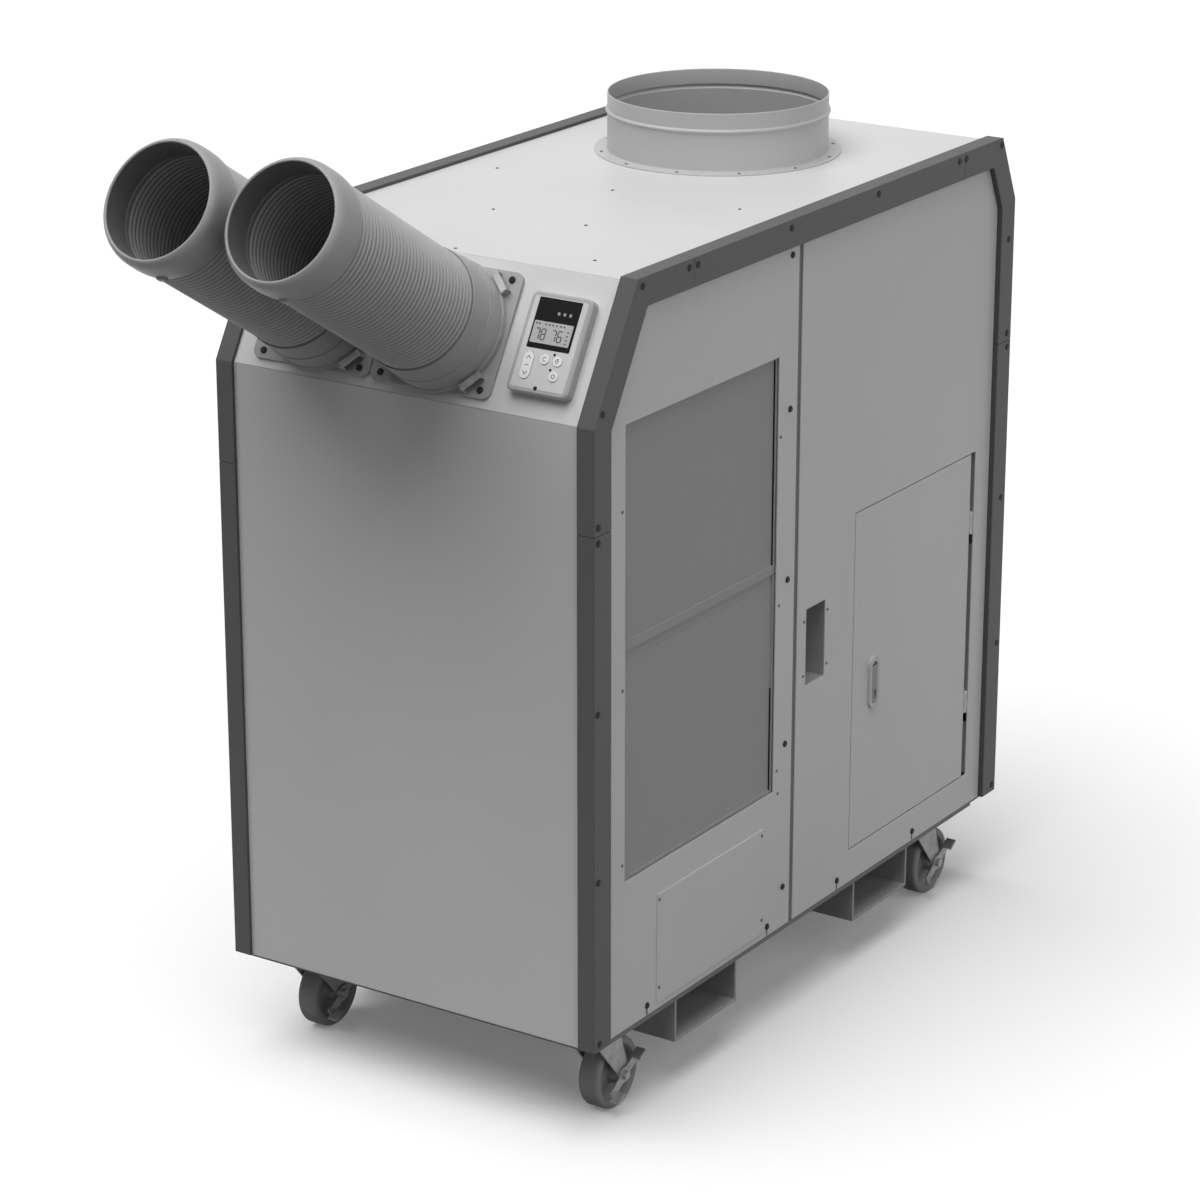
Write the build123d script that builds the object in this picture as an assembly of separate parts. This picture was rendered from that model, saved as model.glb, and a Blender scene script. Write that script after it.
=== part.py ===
from build123d import *
import math
import os

# Portable spot cooler on casters, in millimetres. +X is the right-hand side, the front looks along -Y,
# the floor is z = 0. Everything is drawn with the cabinet's front at y = 0 and set in place when written.

# Cabinet
cabinet_width = 583.5
cabinet_depth = 1086.0
cabinet_height = 1000.0
skirt_height = 138.0
nose_run = 97.6
nose_rise = 168.0
tail_run = 43.0
tail_rise = 95.0
sheet = 1.5
seam_gap = 0.4

# Edge trims
face_recess = 4.5
side_recess = 8.0
trim_face_leg = 25.75
trim_side_leg = 38.0
trim_joint_gap = 0.8
front_joint_height = 695.0
roof_joint_front = 226.0
roof_joint_rear = 931.0
rear_joint_height = 698.0

# Frame
angle_leg = 30.0
angle_wall = 2.0
post_place = 502.0
post_width = 40.0
seam_width = 10.0
rail_height = 20.0
nose_rail_setback = 55.0

# Base pan and fork tubes
pan_sheet = 3.0
pan_lip = 7.0
pan_front_setback = 23.0
pan_rear_setback = 61.0
fork_tube_width = 156.0
fork_tube_height = 66.0
fork_tube_wall = 4.0
fork_tube_places = (288.0, 760.0)

# Right side: intake window, lower cover, grip pocket, access door
window_front = 82.0
window_rear = 450.0
window_low = 208.0
window_high = 818.0
filter_split = 519.0
filter_lap = 10.0
filter_depth = 12.0
filter_frame = 13.0
filter_mesh = 1.0
cover_front = 158.0
cover_rear = 425.0
cover_low = 9.0
cover_high = 163.0
cover_lap = 20.0
pocket_front = 531.0
pocket_rear = 582.0
pocket_low = 336.0
pocket_high = 446.0
pocket_depth = 35.0
pocket_flange = 6.0
door_front = 661.5
door_rear = 993.0
door_low = 50.5
door_high = 546.5
door_gap = 1.5
door_return = 12.0
hinge_gap = 13.0
barrel_radius = 4.0
hinge_pin_radius = 2.0
hinge_length = 33.0
hinge_heights = (149.0, 425.0)
hinge_leaf = 20.0
latch_place = 718.0
latch_height = 284.5
bezel_length = 77.0
bezel_width = 26.0
bezel_proud = 4.0
latch_pocket_length = 62.0
latch_pocket_width = 15.0
latch_pin_radius = 0.9
latch_thickness = 3.2
latch_side_gap = 0.5

# Roof: exhaust collar and the fan under it
collar_x = -18.0
collar_y = 781.0
collar_radius = 154.0
collar_height = 82.0
collar_flange = 18.0
bead_below_rim = 25.0
bead_size = 2.5
shroud_radius = 150.0
shroud_length = 92.0
fan_radius = 141.0
fan_blades = 5
blade_width = 78.0
blade_sheet = 3.0
hub_radius = 46.0
hub_height = 34.0
shaft_radius = 6.0
fan_motor_radius = 55.0
fan_motor_height = 90.0

# Nose: nozzle plates, cuffs, ribbed hoses, end rings
plate_gap = 1.5
plate_margin = 28.25
nozzle_up_slope = 95.5
nozzle_elevation = 31.8
nozzle_azimuth = -0.9
plate_width = 183.5
plate_length = 165.0
plate_corner = 12.0
low_ring_radius = 87.0
low_ring_height = 8.0
socket_radius = 85.0
socket_height = 36.0
cuff_base_radius = 84.0
cuff_rim_radius = 82.3
cuff_end = 70.0
spigot_depth = 12.0
hose_radius = 80.0
hose_valley_radius = 77.6
hose_bore_radius = 75.0
hose_ribs = 34
rib_pitch = 7.65
hose_tail = 8.0
air_radius = 74.0
socket_bore_radius = 75.0
ring_radius = 84.0
ring_length = 48.0
ring_step = 8.0
slip_gap = 0.3
clip_length = 31.0
clip_width = 9.0
clip_rise = 9.0
clip_angles = (45.0, -45.0)

# Controller
control_gap = 25.25
control_margin = 20.0
control_up_slope = 93.5
control_width = 90.0
control_length = 129.0
control_rise = 10.0
control_corner = 9.0
display_offset = -0.5
display_up_slope = 118.5
display_width = 63.0
display_length = 65.0
display_depth = 1.2
rocker_offset = -23.0
rocker_up_slope = 63.5
rocker_width = 14.0
rocker_length = 35.0
key_offsets = ((0.0, 74.0), (19.0, 74.0), (19.0, 54.5))
key_radius = 6.5
key_gap = 0.3
rocker_gap = 0.45
key_height = 5.4
key_proud = 1.5
key_well = 6.0

# Casters
caster_inset = 60.75
caster_places = (87.0, 940.0)
wheel_radius = 50.0
wheel_width = 31.0
trail = 37.0
mount_width = 70.0
mount_length = 95.0
mount_sheet = 4.0
king_pin_radius = 8.0
king_pin_length = 11.0
crown_radius = 31.0
crown_gap = 0.3
crown_height = 12.0
fork_wall = 3.0
fork_half = 23.5
axle_radius = 6.0
running_gap = 0.05
hub_gap = 0.3
lever_wall = 3.0
lever_reach = 36.0
lever_lean = 32.0
pad_width = 15.0
pad_length = 17.0

# Inside
coil_depth = 45.0
coil_inset = 20.0
coil_plate = 3.0
blower_place = 218.0
blower_height = 690.0
blower_wheel_radius = 100.0
blower_wheel_width = 170.0
blower_blades = 22
blower_gap = 12.0
housing_wall = 2.0
blower_motor_radius = 55.0
blower_motor_length = 75.0
blower_foot = (150.0, 30.0, 4.0)
plenum_depth = 60.0
compressor_x = -140.0
compressor_y = 640.0
compressor_radius = 78.0
compressor_height = 290.0
compressor_dome = (28.0, 40.0)
compressor_plate = (10.0, 7.0)
terminal_box = (26.0, 30.0, 120.0, 190.0)
tank_inset = 12.0
tank_length = 290.0
tank_width = 190.0
tank_height = 250.0
tank_wall = 3.0
louvre_rows = 12
louvre_pitch = 34.0
louvre_length = 200.0
louvre_height = 10.0
louvre_low = 290.0

# Worked out from the sizes above
half_width = cabinet_width / 2
panel_x = half_width - side_recess
frame_x = panel_x - sheet
frame_inset = face_recess + sheet
roof_top = skirt_height + cabinet_height
roof_z = roof_top - face_recess
nose_angle = math.degrees(math.atan2(nose_rise, nose_run))
nose_plane = Plane(
    origin=(0, 0, roof_top - nose_rise),
    x_dir=(1, 0, 0),
    z_dir=(0, -math.sin(math.radians(nose_angle)), math.cos(math.radians(nose_angle))),
)
pan_under = skirt_height - pan_sheet
pan_lip_low = skirt_height - pan_lip
post_front = post_place - post_width / 2
post_rear = post_place + post_width / 2
nose_clear = cabinet_width - 2 * trim_face_leg
nose_filled = 2 * plate_width + plate_gap + control_width
nose_share = (nose_clear - nose_filled) / (plate_margin + control_gap + control_margin)
nozzle_pitch = plate_width + plate_gap
nozzle_middle = -nose_clear / 2 + plate_margin * nose_share + plate_width + plate_gap / 2
nozzle_xs = (nozzle_middle + nozzle_pitch / 2, nozzle_middle - nozzle_pitch / 2)
control_x = nose_clear / 2 - control_margin * nose_share - control_width / 2
display_x = control_x + display_offset
rocker_x = control_x + rocker_offset
key_places = [(control_x + across, up_slope) for across, up_slope in key_offsets]
caster_x = half_width - caster_inset
sides = ("right", "left")
rib_start = cuff_end
rib_end = rib_start + hose_ribs * rib_pitch
ring_end = rib_end + ring_length
hinge_x = panel_x - sheet - 1.0
hinge_y = door_rear + hinge_gap / 2
opening_rear = door_rear + hinge_gap

elevation = math.radians(nozzle_elevation)
azimuth = math.radians(nozzle_azimuth)
nozzle_way = Vector(
    math.sin(azimuth) * math.cos(elevation),
    -math.cos(azimuth) * math.cos(elevation),
    math.sin(elevation),
)
nozzle_level = Vector(math.cos(azimuth), math.sin(azimuth), 0)
lip_y = nose_plane.from_local_coords(Vector(0, nozzle_up_slope, 0)).Y
lip_y = lip_y + nozzle_way.Y * ring_end - air_radius * math.sin(elevation)
middle_y = (lip_y + cabinet_depth) / 2


def box_between(x_span, y_span, z_span):
    """A block between two values on each axis."""
    spans = (x_span, y_span, z_span)
    centre = [(low + high) / 2 for low, high in spans]
    size = [high - low for low, high in spans]
    return Pos(*centre) * Box(*size)


def side_outline(inset):
    """Points (y, z) of the cabinet seen from the side, moved inwards, from front foot to rear foot."""
    corners = [
        (0, skirt_height),
        (0, roof_top - nose_rise),
        (nose_run, roof_top),
        (cabinet_depth - tail_run, roof_top),
        (cabinet_depth, roof_top - tail_rise),
        (cabinet_depth, skirt_height),
    ]
    edges = []
    for (y0, z0), (y1, z1) in zip(corners, corners[1:]):
        run = math.hypot(y1 - y0, z1 - z0)
        along = ((y1 - y0) / run, (z1 - z0) / run)
        start = (y0 + along[1] * inset, z0 - along[0] * inset)
        edges.append((start, along))
    points = [(inset, skirt_height)]
    for (p, u), (q, v) in zip(edges, edges[1:]):
        cross = u[0] * v[1] - u[1] * v[0]
        reach = ((q[0] - p[0]) * v[1] - (q[1] - p[1]) * v[0]) / cross
        points.append((p[0] + u[0] * reach, p[1] + u[1] * reach))
    points.append((cabinet_depth - inset, skirt_height))
    return points


def side_slab(inset, x_low, x_high):
    """The cabinet's side shape, moved inwards, as a solid between two x values."""
    outline = Polyline(*[(x_low, y, z) for y, z in side_outline(inset)], close=True)
    return extrude(make_face(outline), amount=x_high - x_low, dir=(1, 0, 0))


def skin(inset, thickness, x_low, x_high):
    """A band that follows front, nose, roof, tail and rear, and is open below."""
    outer = side_slab(inset, x_low, x_high)
    inner = side_slab(inset + thickness, x_low - 1, x_high + 1)
    return outer - inner


def turned(*profile):
    """A ring or drum: points (radius, height) turned about +Z."""
    outline = Polyline(*[(radius, 0, height) for radius, height in profile], close=True)
    return revolve(make_face(outline), axis=Axis.Z)


def mirrored(shape):
    return mirror(shape, about=Plane.YZ)


def nozzle_frame(x):
    """The nozzle's own frame: origin on the nose, +Z along the air, +X level."""
    origin = nose_plane.from_local_coords(Vector(x, nozzle_up_slope, 0))
    return Plane(origin=origin, x_dir=nozzle_level, z_dir=nozzle_way)


def trims():
    """Five L-shaped lengths of edge trim for the right side."""
    ring = skin(0, trim_side_leg, panel_x, half_width)
    ring += skin(0, face_recess, half_width - trim_face_leg, half_width)
    half_gap = trim_joint_gap / 2
    front_z = skirt_height + front_joint_height
    rear_z = skirt_height + rear_joint_height
    across = (0, cabinet_width)
    below = (0, front_z - half_gap)
    middle = cabinet_depth / 2
    lengths = [
        box_between(across, (-1, middle), below),
        box_between(across, (-1, roof_joint_front - half_gap), (front_z + half_gap, roof_top + 1)),
        box_between(
            across,
            (roof_joint_front + half_gap, roof_joint_rear - half_gap),
            (rear_z, roof_top + 1),
        ),
        box_between(
            across,
            (roof_joint_rear + half_gap, cabinet_depth + 1),
            (rear_z + half_gap, roof_top + 1),
        ),
        box_between(across, (middle, cabinet_depth + 1), (0, rear_z - half_gap)),
    ]
    return Compound(children=[solid for part in lengths for solid in (ring & part).solids()])


def frame():
    """Welded frame: a hoop of angle round each side, middle posts and cross rails."""
    hoop = skin(frame_inset, angle_leg, frame_x - angle_wall, frame_x)
    hoop += skin(frame_inset, angle_wall, frame_x - angle_leg, frame_x)
    under_roof = roof_top - frame_inset - angle_wall
    posts_span = (post_front, post_rear)
    post = box_between((frame_x - angle_wall, frame_x), posts_span, (skirt_height, under_roof))
    for y in (post_front, post_rear - angle_wall):
        post += box_between(
            (frame_x - angle_leg, frame_x), (y, y + angle_wall), (skirt_height, under_roof)
        )
    side = hoop + post
    whole = side + mirrored(side)
    rail_span = (angle_wall - frame_x, frame_x - angle_wall)
    rail_z = (under_roof - rail_height, under_roof)
    for y in (nose_run + nose_rail_setback, post_place, roof_joint_rear + 2 * rail_height):
        whole += box_between(rail_span, (y - rail_height / 2, y + rail_height / 2), rail_z)
    bend = roof_top - nose_rise
    inside_front = frame_inset + angle_wall
    whole += box_between(
        rail_span, (inside_front, inside_front + rail_height), (bend - 2 * rail_height, bend - rail_height)
    )
    return whole


def face_panel(y_span, z_span):
    """One of the sheets between the two lines of trim."""
    half = frame_x - seam_gap
    whole = skin(face_recess, sheet, -half, half)
    return whole & box_between((-half, half), y_span, z_span)


def front_panel():
    bend = side_outline(face_recess)[1][1]
    return face_panel((0, nose_run), (skirt_height, bend - seam_gap / 2))


def nose_panel():
    """Sloping panel with a round air hole behind each nozzle plate."""
    low = side_outline(face_recess)[1][1] + seam_gap / 2
    rear = side_outline(face_recess)[2][0] - seam_gap / 2
    panel = face_panel((0, rear), (low, roof_top))
    for x in nozzle_xs:
        hole = Cylinder(air_radius + 2, 60)
        panel -= nozzle_frame(x).location * hole
    return panel


def roof_panel():
    front = side_outline(face_recess)[2][0] + seam_gap / 2
    rear = side_outline(face_recess)[3][0] - seam_gap / 2
    panel = face_panel((front, rear), (roof_top - 30, roof_top))
    return panel - Pos(collar_x, collar_y, roof_z) * Cylinder(shroud_radius - sheet, 20)


def rear_panel():
    """Rear sheet with its sloping tail and two columns of intake louvres for the condenser."""
    front = side_outline(face_recess)[3][0] + seam_gap / 2
    panel = face_panel((front, cabinet_depth), (skirt_height, roof_top))
    panel += face_panel((cabinet_depth - frame_inset - 1, cabinet_depth), (skirt_height, roof_top))
    for row in range(louvre_rows):
        z = skirt_height + louvre_low + row * louvre_pitch
        for x in (-louvre_length / 2 - 15, louvre_length / 2 + 15):
            panel -= Pos(x, cabinet_depth - face_recess, z) * Box(louvre_length, 10, louvre_height)
    return panel


def side_sheet(y_span):
    """Plain right-hand sheet between two y values, under the trim's side leg."""
    whole = side_slab(face_recess + 0.5, frame_x, panel_x)
    return whole & box_between((0, cabinet_width), y_span, (skirt_height, roof_top))


def opening(y_span, low, high):
    """A through cut in the right-hand side, its heights counted from the skirt."""
    return box_between((frame_x - 1, panel_x + 1), y_span, (skirt_height + low, skirt_height + high))


def right_front_panel():
    panel = side_sheet((0, post_place - seam_width / 2))
    panel -= opening((window_front, window_rear), window_low, window_high)
    cover_hole = (cover_front + cover_lap, cover_rear - cover_lap)
    return panel - opening(cover_hole, cover_low + cover_lap, cover_high - cover_lap)


def right_rear_panel():
    panel = side_sheet((post_place + seam_width / 2, cabinet_depth))
    door_hole = (door_front - door_gap, opening_rear)
    panel -= opening(door_hole, door_low - door_gap, door_high + door_gap)
    return panel - opening((pocket_front, pocket_rear), pocket_low, pocket_high)


def left_rear_panel():
    panel = side_sheet((post_place + seam_width / 2, cabinet_depth))
    return mirrored(panel - opening((pocket_front, pocket_rear), pocket_low, pocket_high))


def lower_cover():
    return box_between(
        (panel_x, panel_x + sheet),
        (cover_front, cover_rear),
        (skirt_height + cover_low, skirt_height + cover_high),
    )


def intake_filter(low, high):
    """A washable filter: a rim behind the window's edge and a fine mesh set back in it."""
    y_span = (window_front - filter_lap, window_rear + filter_lap)
    z_span = (skirt_height + low, skirt_height + high)
    body = box_between((frame_x - filter_depth, frame_x), y_span, z_span)
    inside_y = (y_span[0] + filter_frame, y_span[1] - filter_frame)
    inside_z = (z_span[0] + filter_frame, z_span[1] - filter_frame)
    mesh_x = frame_x - filter_depth / 2
    body -= box_between((mesh_x, frame_x + 1), inside_y, inside_z)
    return body - box_between((0, mesh_x - filter_mesh), inside_y, inside_z)


def grip_pocket():
    """A moulded cup behind the panel, with a flange for its rivets."""
    y_span = (pocket_front, pocket_rear)
    z_span = (skirt_height + pocket_low, skirt_height + pocket_high)

    def grown(by, x_span):
        return box_between(x_span, (y_span[0] - by, y_span[1] + by), (z_span[0] - by, z_span[1] + by))

    cup = grown(sheet, (frame_x - pocket_depth, frame_x))
    cup += grown(sheet + pocket_flange, (frame_x - sheet, frame_x))
    return cup - grown(0, (frame_x - pocket_depth + sheet, frame_x + 1))


def hinge_barrel(low, length):
    return Pos(hinge_x, hinge_y, low + length / 2) * Cylinder(barrel_radius, length)


def access_door():
    """Folded door sheet with its own halves of the hinge barrels."""
    y_span = (door_front, door_rear)
    z_span = (skirt_height + door_low, skirt_height + door_high)
    door = box_between((panel_x - door_return, panel_x), y_span, z_span)
    inside_y = (y_span[0] + sheet, y_span[1] - sheet)
    inside_z = (z_span[0] + sheet, z_span[1] - sheet)
    door -= box_between((0, frame_x), inside_y, inside_z)
    half = hinge_length / 2
    for height in hinge_heights:
        low = skirt_height + height + half + seam_gap / 2
        length = half - seam_gap
        door += hinge_barrel(low, length)
        door += box_between((hinge_x - 0.75, hinge_x + 0.75), (door_rear - 1, hinge_y), (low, low + length))
        bore = Pos(hinge_x, hinge_y, low) * Cylinder(hinge_pin_radius + running_gap, 2 * length)
        door -= bore
    return door


def door_hinges():
    """The fixed hinge halves: leaf behind the panel, barrel and pin."""
    halves = []
    half = hinge_length / 2
    for height in hinge_heights:
        low = skirt_height + height
        fixed = hinge_barrel(low, half - seam_gap / 2)
        leaf_y = (hinge_y, opening_rear + hinge_leaf)
        fixed += box_between((frame_x - sheet, frame_x), leaf_y, (low, low + half - seam_gap / 2))
        pin = Pos(hinge_x, hinge_y, low + hinge_length / 2) * Cylinder(hinge_pin_radius, hinge_length)
        halves.append(fixed + pin)
    return Compound(children=[half.solid() for half in halves])


def stadium(length, width, x_low, x_high):
    """An upright long hole or plate on the door, centred on the latch."""
    place = Plane(
        origin=(x_low, latch_place, skirt_height + latch_height), x_dir=(0, 0, 1), z_dir=(1, 0, 0)
    )
    return extrude(place * SlotOverall(length, width), amount=x_high - x_low)


def latch_pivot():
    """Place of the latch pin, near the top of the bezel's pocket."""
    drop = latch_pocket_width / 2
    z = skirt_height + latch_height + latch_pocket_length / 2 - drop
    return Vector(panel_x + bezel_proud - latch_thickness / 2, latch_place, z)


def latch_bezel():
    """Oval pull bezel with a long slot and a pin across it."""
    rim = panel_x + bezel_proud
    bezel = stadium(bezel_length, bezel_width, panel_x, rim)
    bezel -= stadium(latch_pocket_length, latch_pocket_width, panel_x - 1, rim + 1)
    pivot = latch_pivot()
    pin = Location(pivot, (90, 0, 0)) * Cylinder(latch_pin_radius, latch_pocket_width + 2)
    return bezel + (pin & stadium(bezel_length, bezel_width, panel_x, rim))


def latch_lever():
    """Pull lever that lies in the slot, with a finger scoop at its lower end."""
    pivot = latch_pivot()
    rim = panel_x + bezel_proud
    width = latch_pocket_width - 2 * latch_side_gap
    lever = stadium(latch_pocket_length - 2 * latch_side_gap, width, rim - latch_thickness, rim)
    lever &= box_between((0, cabinet_width), (0, cabinet_depth), (0, pivot.Z))
    lever += Location(pivot, (90, 0, 0)) * Cylinder(latch_thickness / 2, width)
    scoop_z = skirt_height + latch_height - latch_pocket_length / 2 + 14
    lever -= Pos(rim, latch_place, scoop_z) * Box(3, 8, 12)
    bore = Location(pivot, (90, 0, 0)) * Cylinder(latch_pin_radius + running_gap, 40)
    return lever - bore


def base_pan():
    """Folded tray: a flat top that carries everything, and a lip set back at front and rear."""
    pan = box_between(
        (-panel_x, panel_x),
        (frame_inset, cabinet_depth - frame_inset),
        (pan_under, skirt_height),
    )
    lip_y = (pan_front_setback, cabinet_depth - pan_rear_setback)
    inner_y = (lip_y[0] + pan_sheet, lip_y[1] - pan_sheet)
    inner_x = (pan_sheet - panel_x, panel_x - pan_sheet)
    lip = box_between((-panel_x, panel_x), lip_y, (pan_lip_low, pan_under))
    return pan + (lip - box_between(inner_x, inner_y, (pan_lip_low - 1, pan_under)))


def fork_tube(y):
    """Square steel tube across the base, open at both sides for a lift truck's fork."""
    half = panel_x - pan_sheet - slip_gap
    low = pan_under - fork_tube_height
    y_span = (y - fork_tube_width / 2, y + fork_tube_width / 2)
    tube = box_between((-half, half), y_span, (low, pan_under))
    wall = fork_tube_wall
    return tube - box_between(
        (-half - 1, half + 1),
        (y_span[0] + wall, y_span[1] - wall),
        (low + wall, pan_under - wall),
    )


def exhaust_collar():
    """Spun duct collar with a flange on the roof, a bead and a rolled rim."""
    out = collar_radius
    bore = out - sheet
    bead = collar_height - bead_below_rim
    collar = turned(
        (bore, 0),
        (out + collar_flange, 0),
        (out + collar_flange, sheet),
        (out, sheet),
        (out, bead - bead_size),
        (out + bead_size, bead),
        (out, bead + bead_size),
        (out, collar_height),
        (bore, collar_height),
        (bore, bead + bead_size),
        (bore + bead_size, bead),
        (bore, bead - bead_size),
    )
    return Pos(collar_x, collar_y, roof_z) * collar


def fan_levels():
    """Heights of the shroud's foot, its arms and the fan's middle."""
    shroud_top = roof_z - sheet
    foot = shroud_top - shroud_length
    return foot, foot + 8.0, foot + 14.0 + hub_height / 2


def exhaust_fan():
    """Axial fan: a hub with twisted paddle blades, and its shaft below."""
    middle = fan_levels()[2]
    fan = Cylinder(hub_radius, hub_height)
    blade_length = fan_radius - hub_radius + 4
    paddle = Box(blade_length, blade_width, blade_sheet)
    for number in range(fan_blades):
        turn = number * 360 / fan_blades
        place = Rot(0, 0, turn) * Pos((fan_radius + hub_radius) / 2 - 2, 0, 0) * Rot(24, 0, 0)
        fan += place * paddle
    fan &= Cylinder(fan_radius, blade_width + 2)
    shaft_length = fan_motor_height / 2 + hub_height / 2 + 14
    fan += Pos(0, 0, -hub_height / 2 - shaft_length / 2 + 2) * Cylinder(shaft_radius, shaft_length)
    return Pos(collar_x, collar_y, middle) * fan


def exhaust_fan_motor():
    """Motor can hung under a shroud with three arms."""
    foot, arm_top, middle = fan_levels()
    shroud = Pos(0, 0, shroud_length / 2) * Cylinder(shroud_radius, shroud_length)
    shroud -= Pos(0, 0, shroud_length / 2) * Cylinder(shroud_radius - sheet, shroud_length + 2)
    thickness = arm_top - foot
    spider = Pos(0, 0, thickness / 2) * Cylinder(fan_motor_radius, thickness)
    for turn in (90, 210, 330):
        reach = shroud_radius - sheet / 2
        spider += Rot(0, 0, turn) * Pos(reach / 2, 0, thickness / 2) * Box(reach, 22, thickness)
    spider -= Cylinder(shaft_radius * 2, 40)
    can = Pos(0, 0, -fan_motor_height / 2) * Cylinder(fan_motor_radius, fan_motor_height)
    can -= Pos(0, 0, 0) * Cylinder(shaft_radius + running_gap, fan_motor_height * 1.4)
    place = Pos(collar_x, collar_y, foot)
    return Compound(children=[(place * (shroud + spider)).solid(), (place * can).solid()])


def nozzle_plate(x):
    """Square moulded plate with a low ring and the round socket that takes the cuff."""
    flat = extrude(RectangleRounded(plate_width, plate_length, plate_corner), amount=-face_recess)
    flat += Pos(0, 0, low_ring_height / 2) * Cylinder(low_ring_radius, low_ring_height)
    flat = nose_plane.location * Pos(x, nozzle_up_slope, 0) * flat
    foot = 1.0
    socket = Pos(0, 0, (socket_height - foot) / 2) * Cylinder(socket_radius, socket_height + foot)
    counterbore = Pos(0, 0, socket_height) * Cylinder(hose_radius + slip_gap, 2 * spigot_depth)
    place = nozzle_frame(x).location
    whole = flat + place * socket
    return whole - place * counterbore - place * Cylinder(socket_bore_radius, 2 * socket_height + 40)


def cuff(x):
    """Smooth cuff: a spigot in the plate's socket, a shoulder and a rim that takes the hose."""
    ring = turned(
        (socket_bore_radius, socket_height - spigot_depth),
        (hose_radius, socket_height - spigot_depth),
        (hose_radius, socket_height),
        (cuff_base_radius, socket_height),
        (cuff_rim_radius, cuff_end),
        (hose_radius + slip_gap, cuff_end),
        (hose_radius + slip_gap, cuff_end - hose_tail),
        (socket_bore_radius, cuff_end - hose_tail),
    )
    return nozzle_frame(x).location * ring


def ribbed_hose(x):
    """Flexible hose: a loft through the valleys and crests of its ribs, with a plain tail at each end."""
    stations = [(rib_start - hose_tail, hose_radius), (rib_start, hose_radius)]
    for rib in range(hose_ribs):
        start = rib_start + rib * rib_pitch
        if rib:
            stations.append((start, hose_valley_radius))
        stations.append((start + rib_pitch / 2, hose_radius))
    stations.append((rib_end, hose_valley_radius))
    stations.append((rib_end + 0.5, hose_radius))
    stations.append((rib_end + hose_tail - slip_gap, hose_radius))
    circles = [Plane.XY.offset(height) * Circle(radius) for height, radius in stations]
    hose = loft(circles, ruled=True)
    length = stations[-1][0] - stations[0][0]
    hose -= Pos(0, 0, stations[0][0] + length / 2) * Cylinder(hose_bore_radius, length + 2)
    return nozzle_frame(x).location * hose


def end_ring(x):
    """Rounded outlet ring with a step inside for the hose and a small lug below."""
    back = rib_end
    front = ring_end
    step = back + ring_step
    ring = turned(
        (hose_radius + slip_gap, back),
        (ring_radius - 1.5, back),
        (ring_radius, back + 16),
        (ring_radius - 0.6, front - 13),
        (ring_radius - 2.6, front - 5.5),
        (air_radius + 3, front),
        (air_radius, front),
        (air_radius, step),
        (hose_radius + slip_gap, step),
    )
    lug = Rot(0, 0, -82) * Pos(ring_radius, 0, back + 7) * Box(5, 13, 10)
    return nozzle_frame(x).location * (ring + lug)


def nozzle_clip(x, angle):
    """Spring clip from the plate over the foot of the socket."""
    bar = Pos(0, 0, clip_rise + 1.25) * Box(clip_width, clip_length, 2.5)
    for side in (-1, 1):
        leg_y = side * (clip_length / 2 - 1.25)
        bar += Pos(0, leg_y, clip_rise / 2) * Box(clip_width, 2.5, clip_rise)
    reach = low_ring_radius + clip_width / 2 + slip_gap
    place = Pos(x, nozzle_up_slope, 0) * Rot(0, 0, angle) * Pos(reach, 0, 0)
    return nose_plane.location * place * bar


def nozzle_clips():
    clips = [nozzle_clip(x, angle) for x in nozzle_xs for angle in clip_angles]
    return Compound(children=[clip.solid() for clip in clips])


def on_nose(x, up_slope, rise, sketch, amount):
    """A sketch stood on the nose at a height above it, and extruded outwards."""
    place = nose_plane.location * Pos(x, up_slope, rise)
    return place * extrude(sketch, amount=amount)


def control_housing():
    """Raised moulded housing with a window recess and wells for its keys."""
    outline = RectangleRounded(control_width, control_length, control_corner)
    body = extrude(outline, amount=control_rise + face_recess)
    rim = body.faces().sort_by(Axis.Z)[-1].edges()
    body = chamfer(rim, 2.2)
    body = nose_plane.location * Pos(control_x, control_up_slope, -face_recess) * body
    window = Rectangle(display_width + 2 * slip_gap, display_length + 2 * slip_gap)
    body -= on_nose(display_x, display_up_slope, control_rise - display_depth, window, 5)
    well = control_rise - key_well
    for x, up_slope in key_places:
        body -= on_nose(x, up_slope, well, Circle(key_radius + key_gap), 20)
    rocker_well = Rot(0, 0, 90) * SlotOverall(rocker_length + 2 * rocker_gap, rocker_width + 2 * rocker_gap)
    return body - on_nose(rocker_x, rocker_up_slope, well, rocker_well, 20)


def control_display():
    window = Rectangle(display_width, display_length)
    return on_nose(display_x, display_up_slope, control_rise - display_depth, window, display_depth)


def temperature_rocker():
    pill = Rot(0, 0, 90) * SlotOverall(rocker_length, rocker_width)
    low = control_rise + key_proud - key_height
    return on_nose(rocker_x, rocker_up_slope, low, pill, key_height)


def round_key(place):
    low = control_rise + key_proud - key_height
    return on_nose(place[0], place[1], low, Circle(key_radius), key_height)


def caster_frame(side, y):
    """A caster's own frame: origin on the floor under its swivel, trail towards the rear."""
    return Pos(side * caster_x, y, 0)


def crown_top():
    return pan_under - mount_sheet - crown_gap


def caster_mount(side, y):
    """Mounting plate with the king pin that the fork turns on."""
    plate = box_between(
        (-mount_width / 2, mount_width / 2),
        (-mount_length / 2, mount_length / 2),
        (pan_under - mount_sheet, pan_under),
    )
    pin_top = pan_under - mount_sheet
    plate += Pos(0, 0, pin_top - king_pin_length / 2) * Cylinder(king_pin_radius, king_pin_length)
    return caster_frame(side, y) * plate


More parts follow.
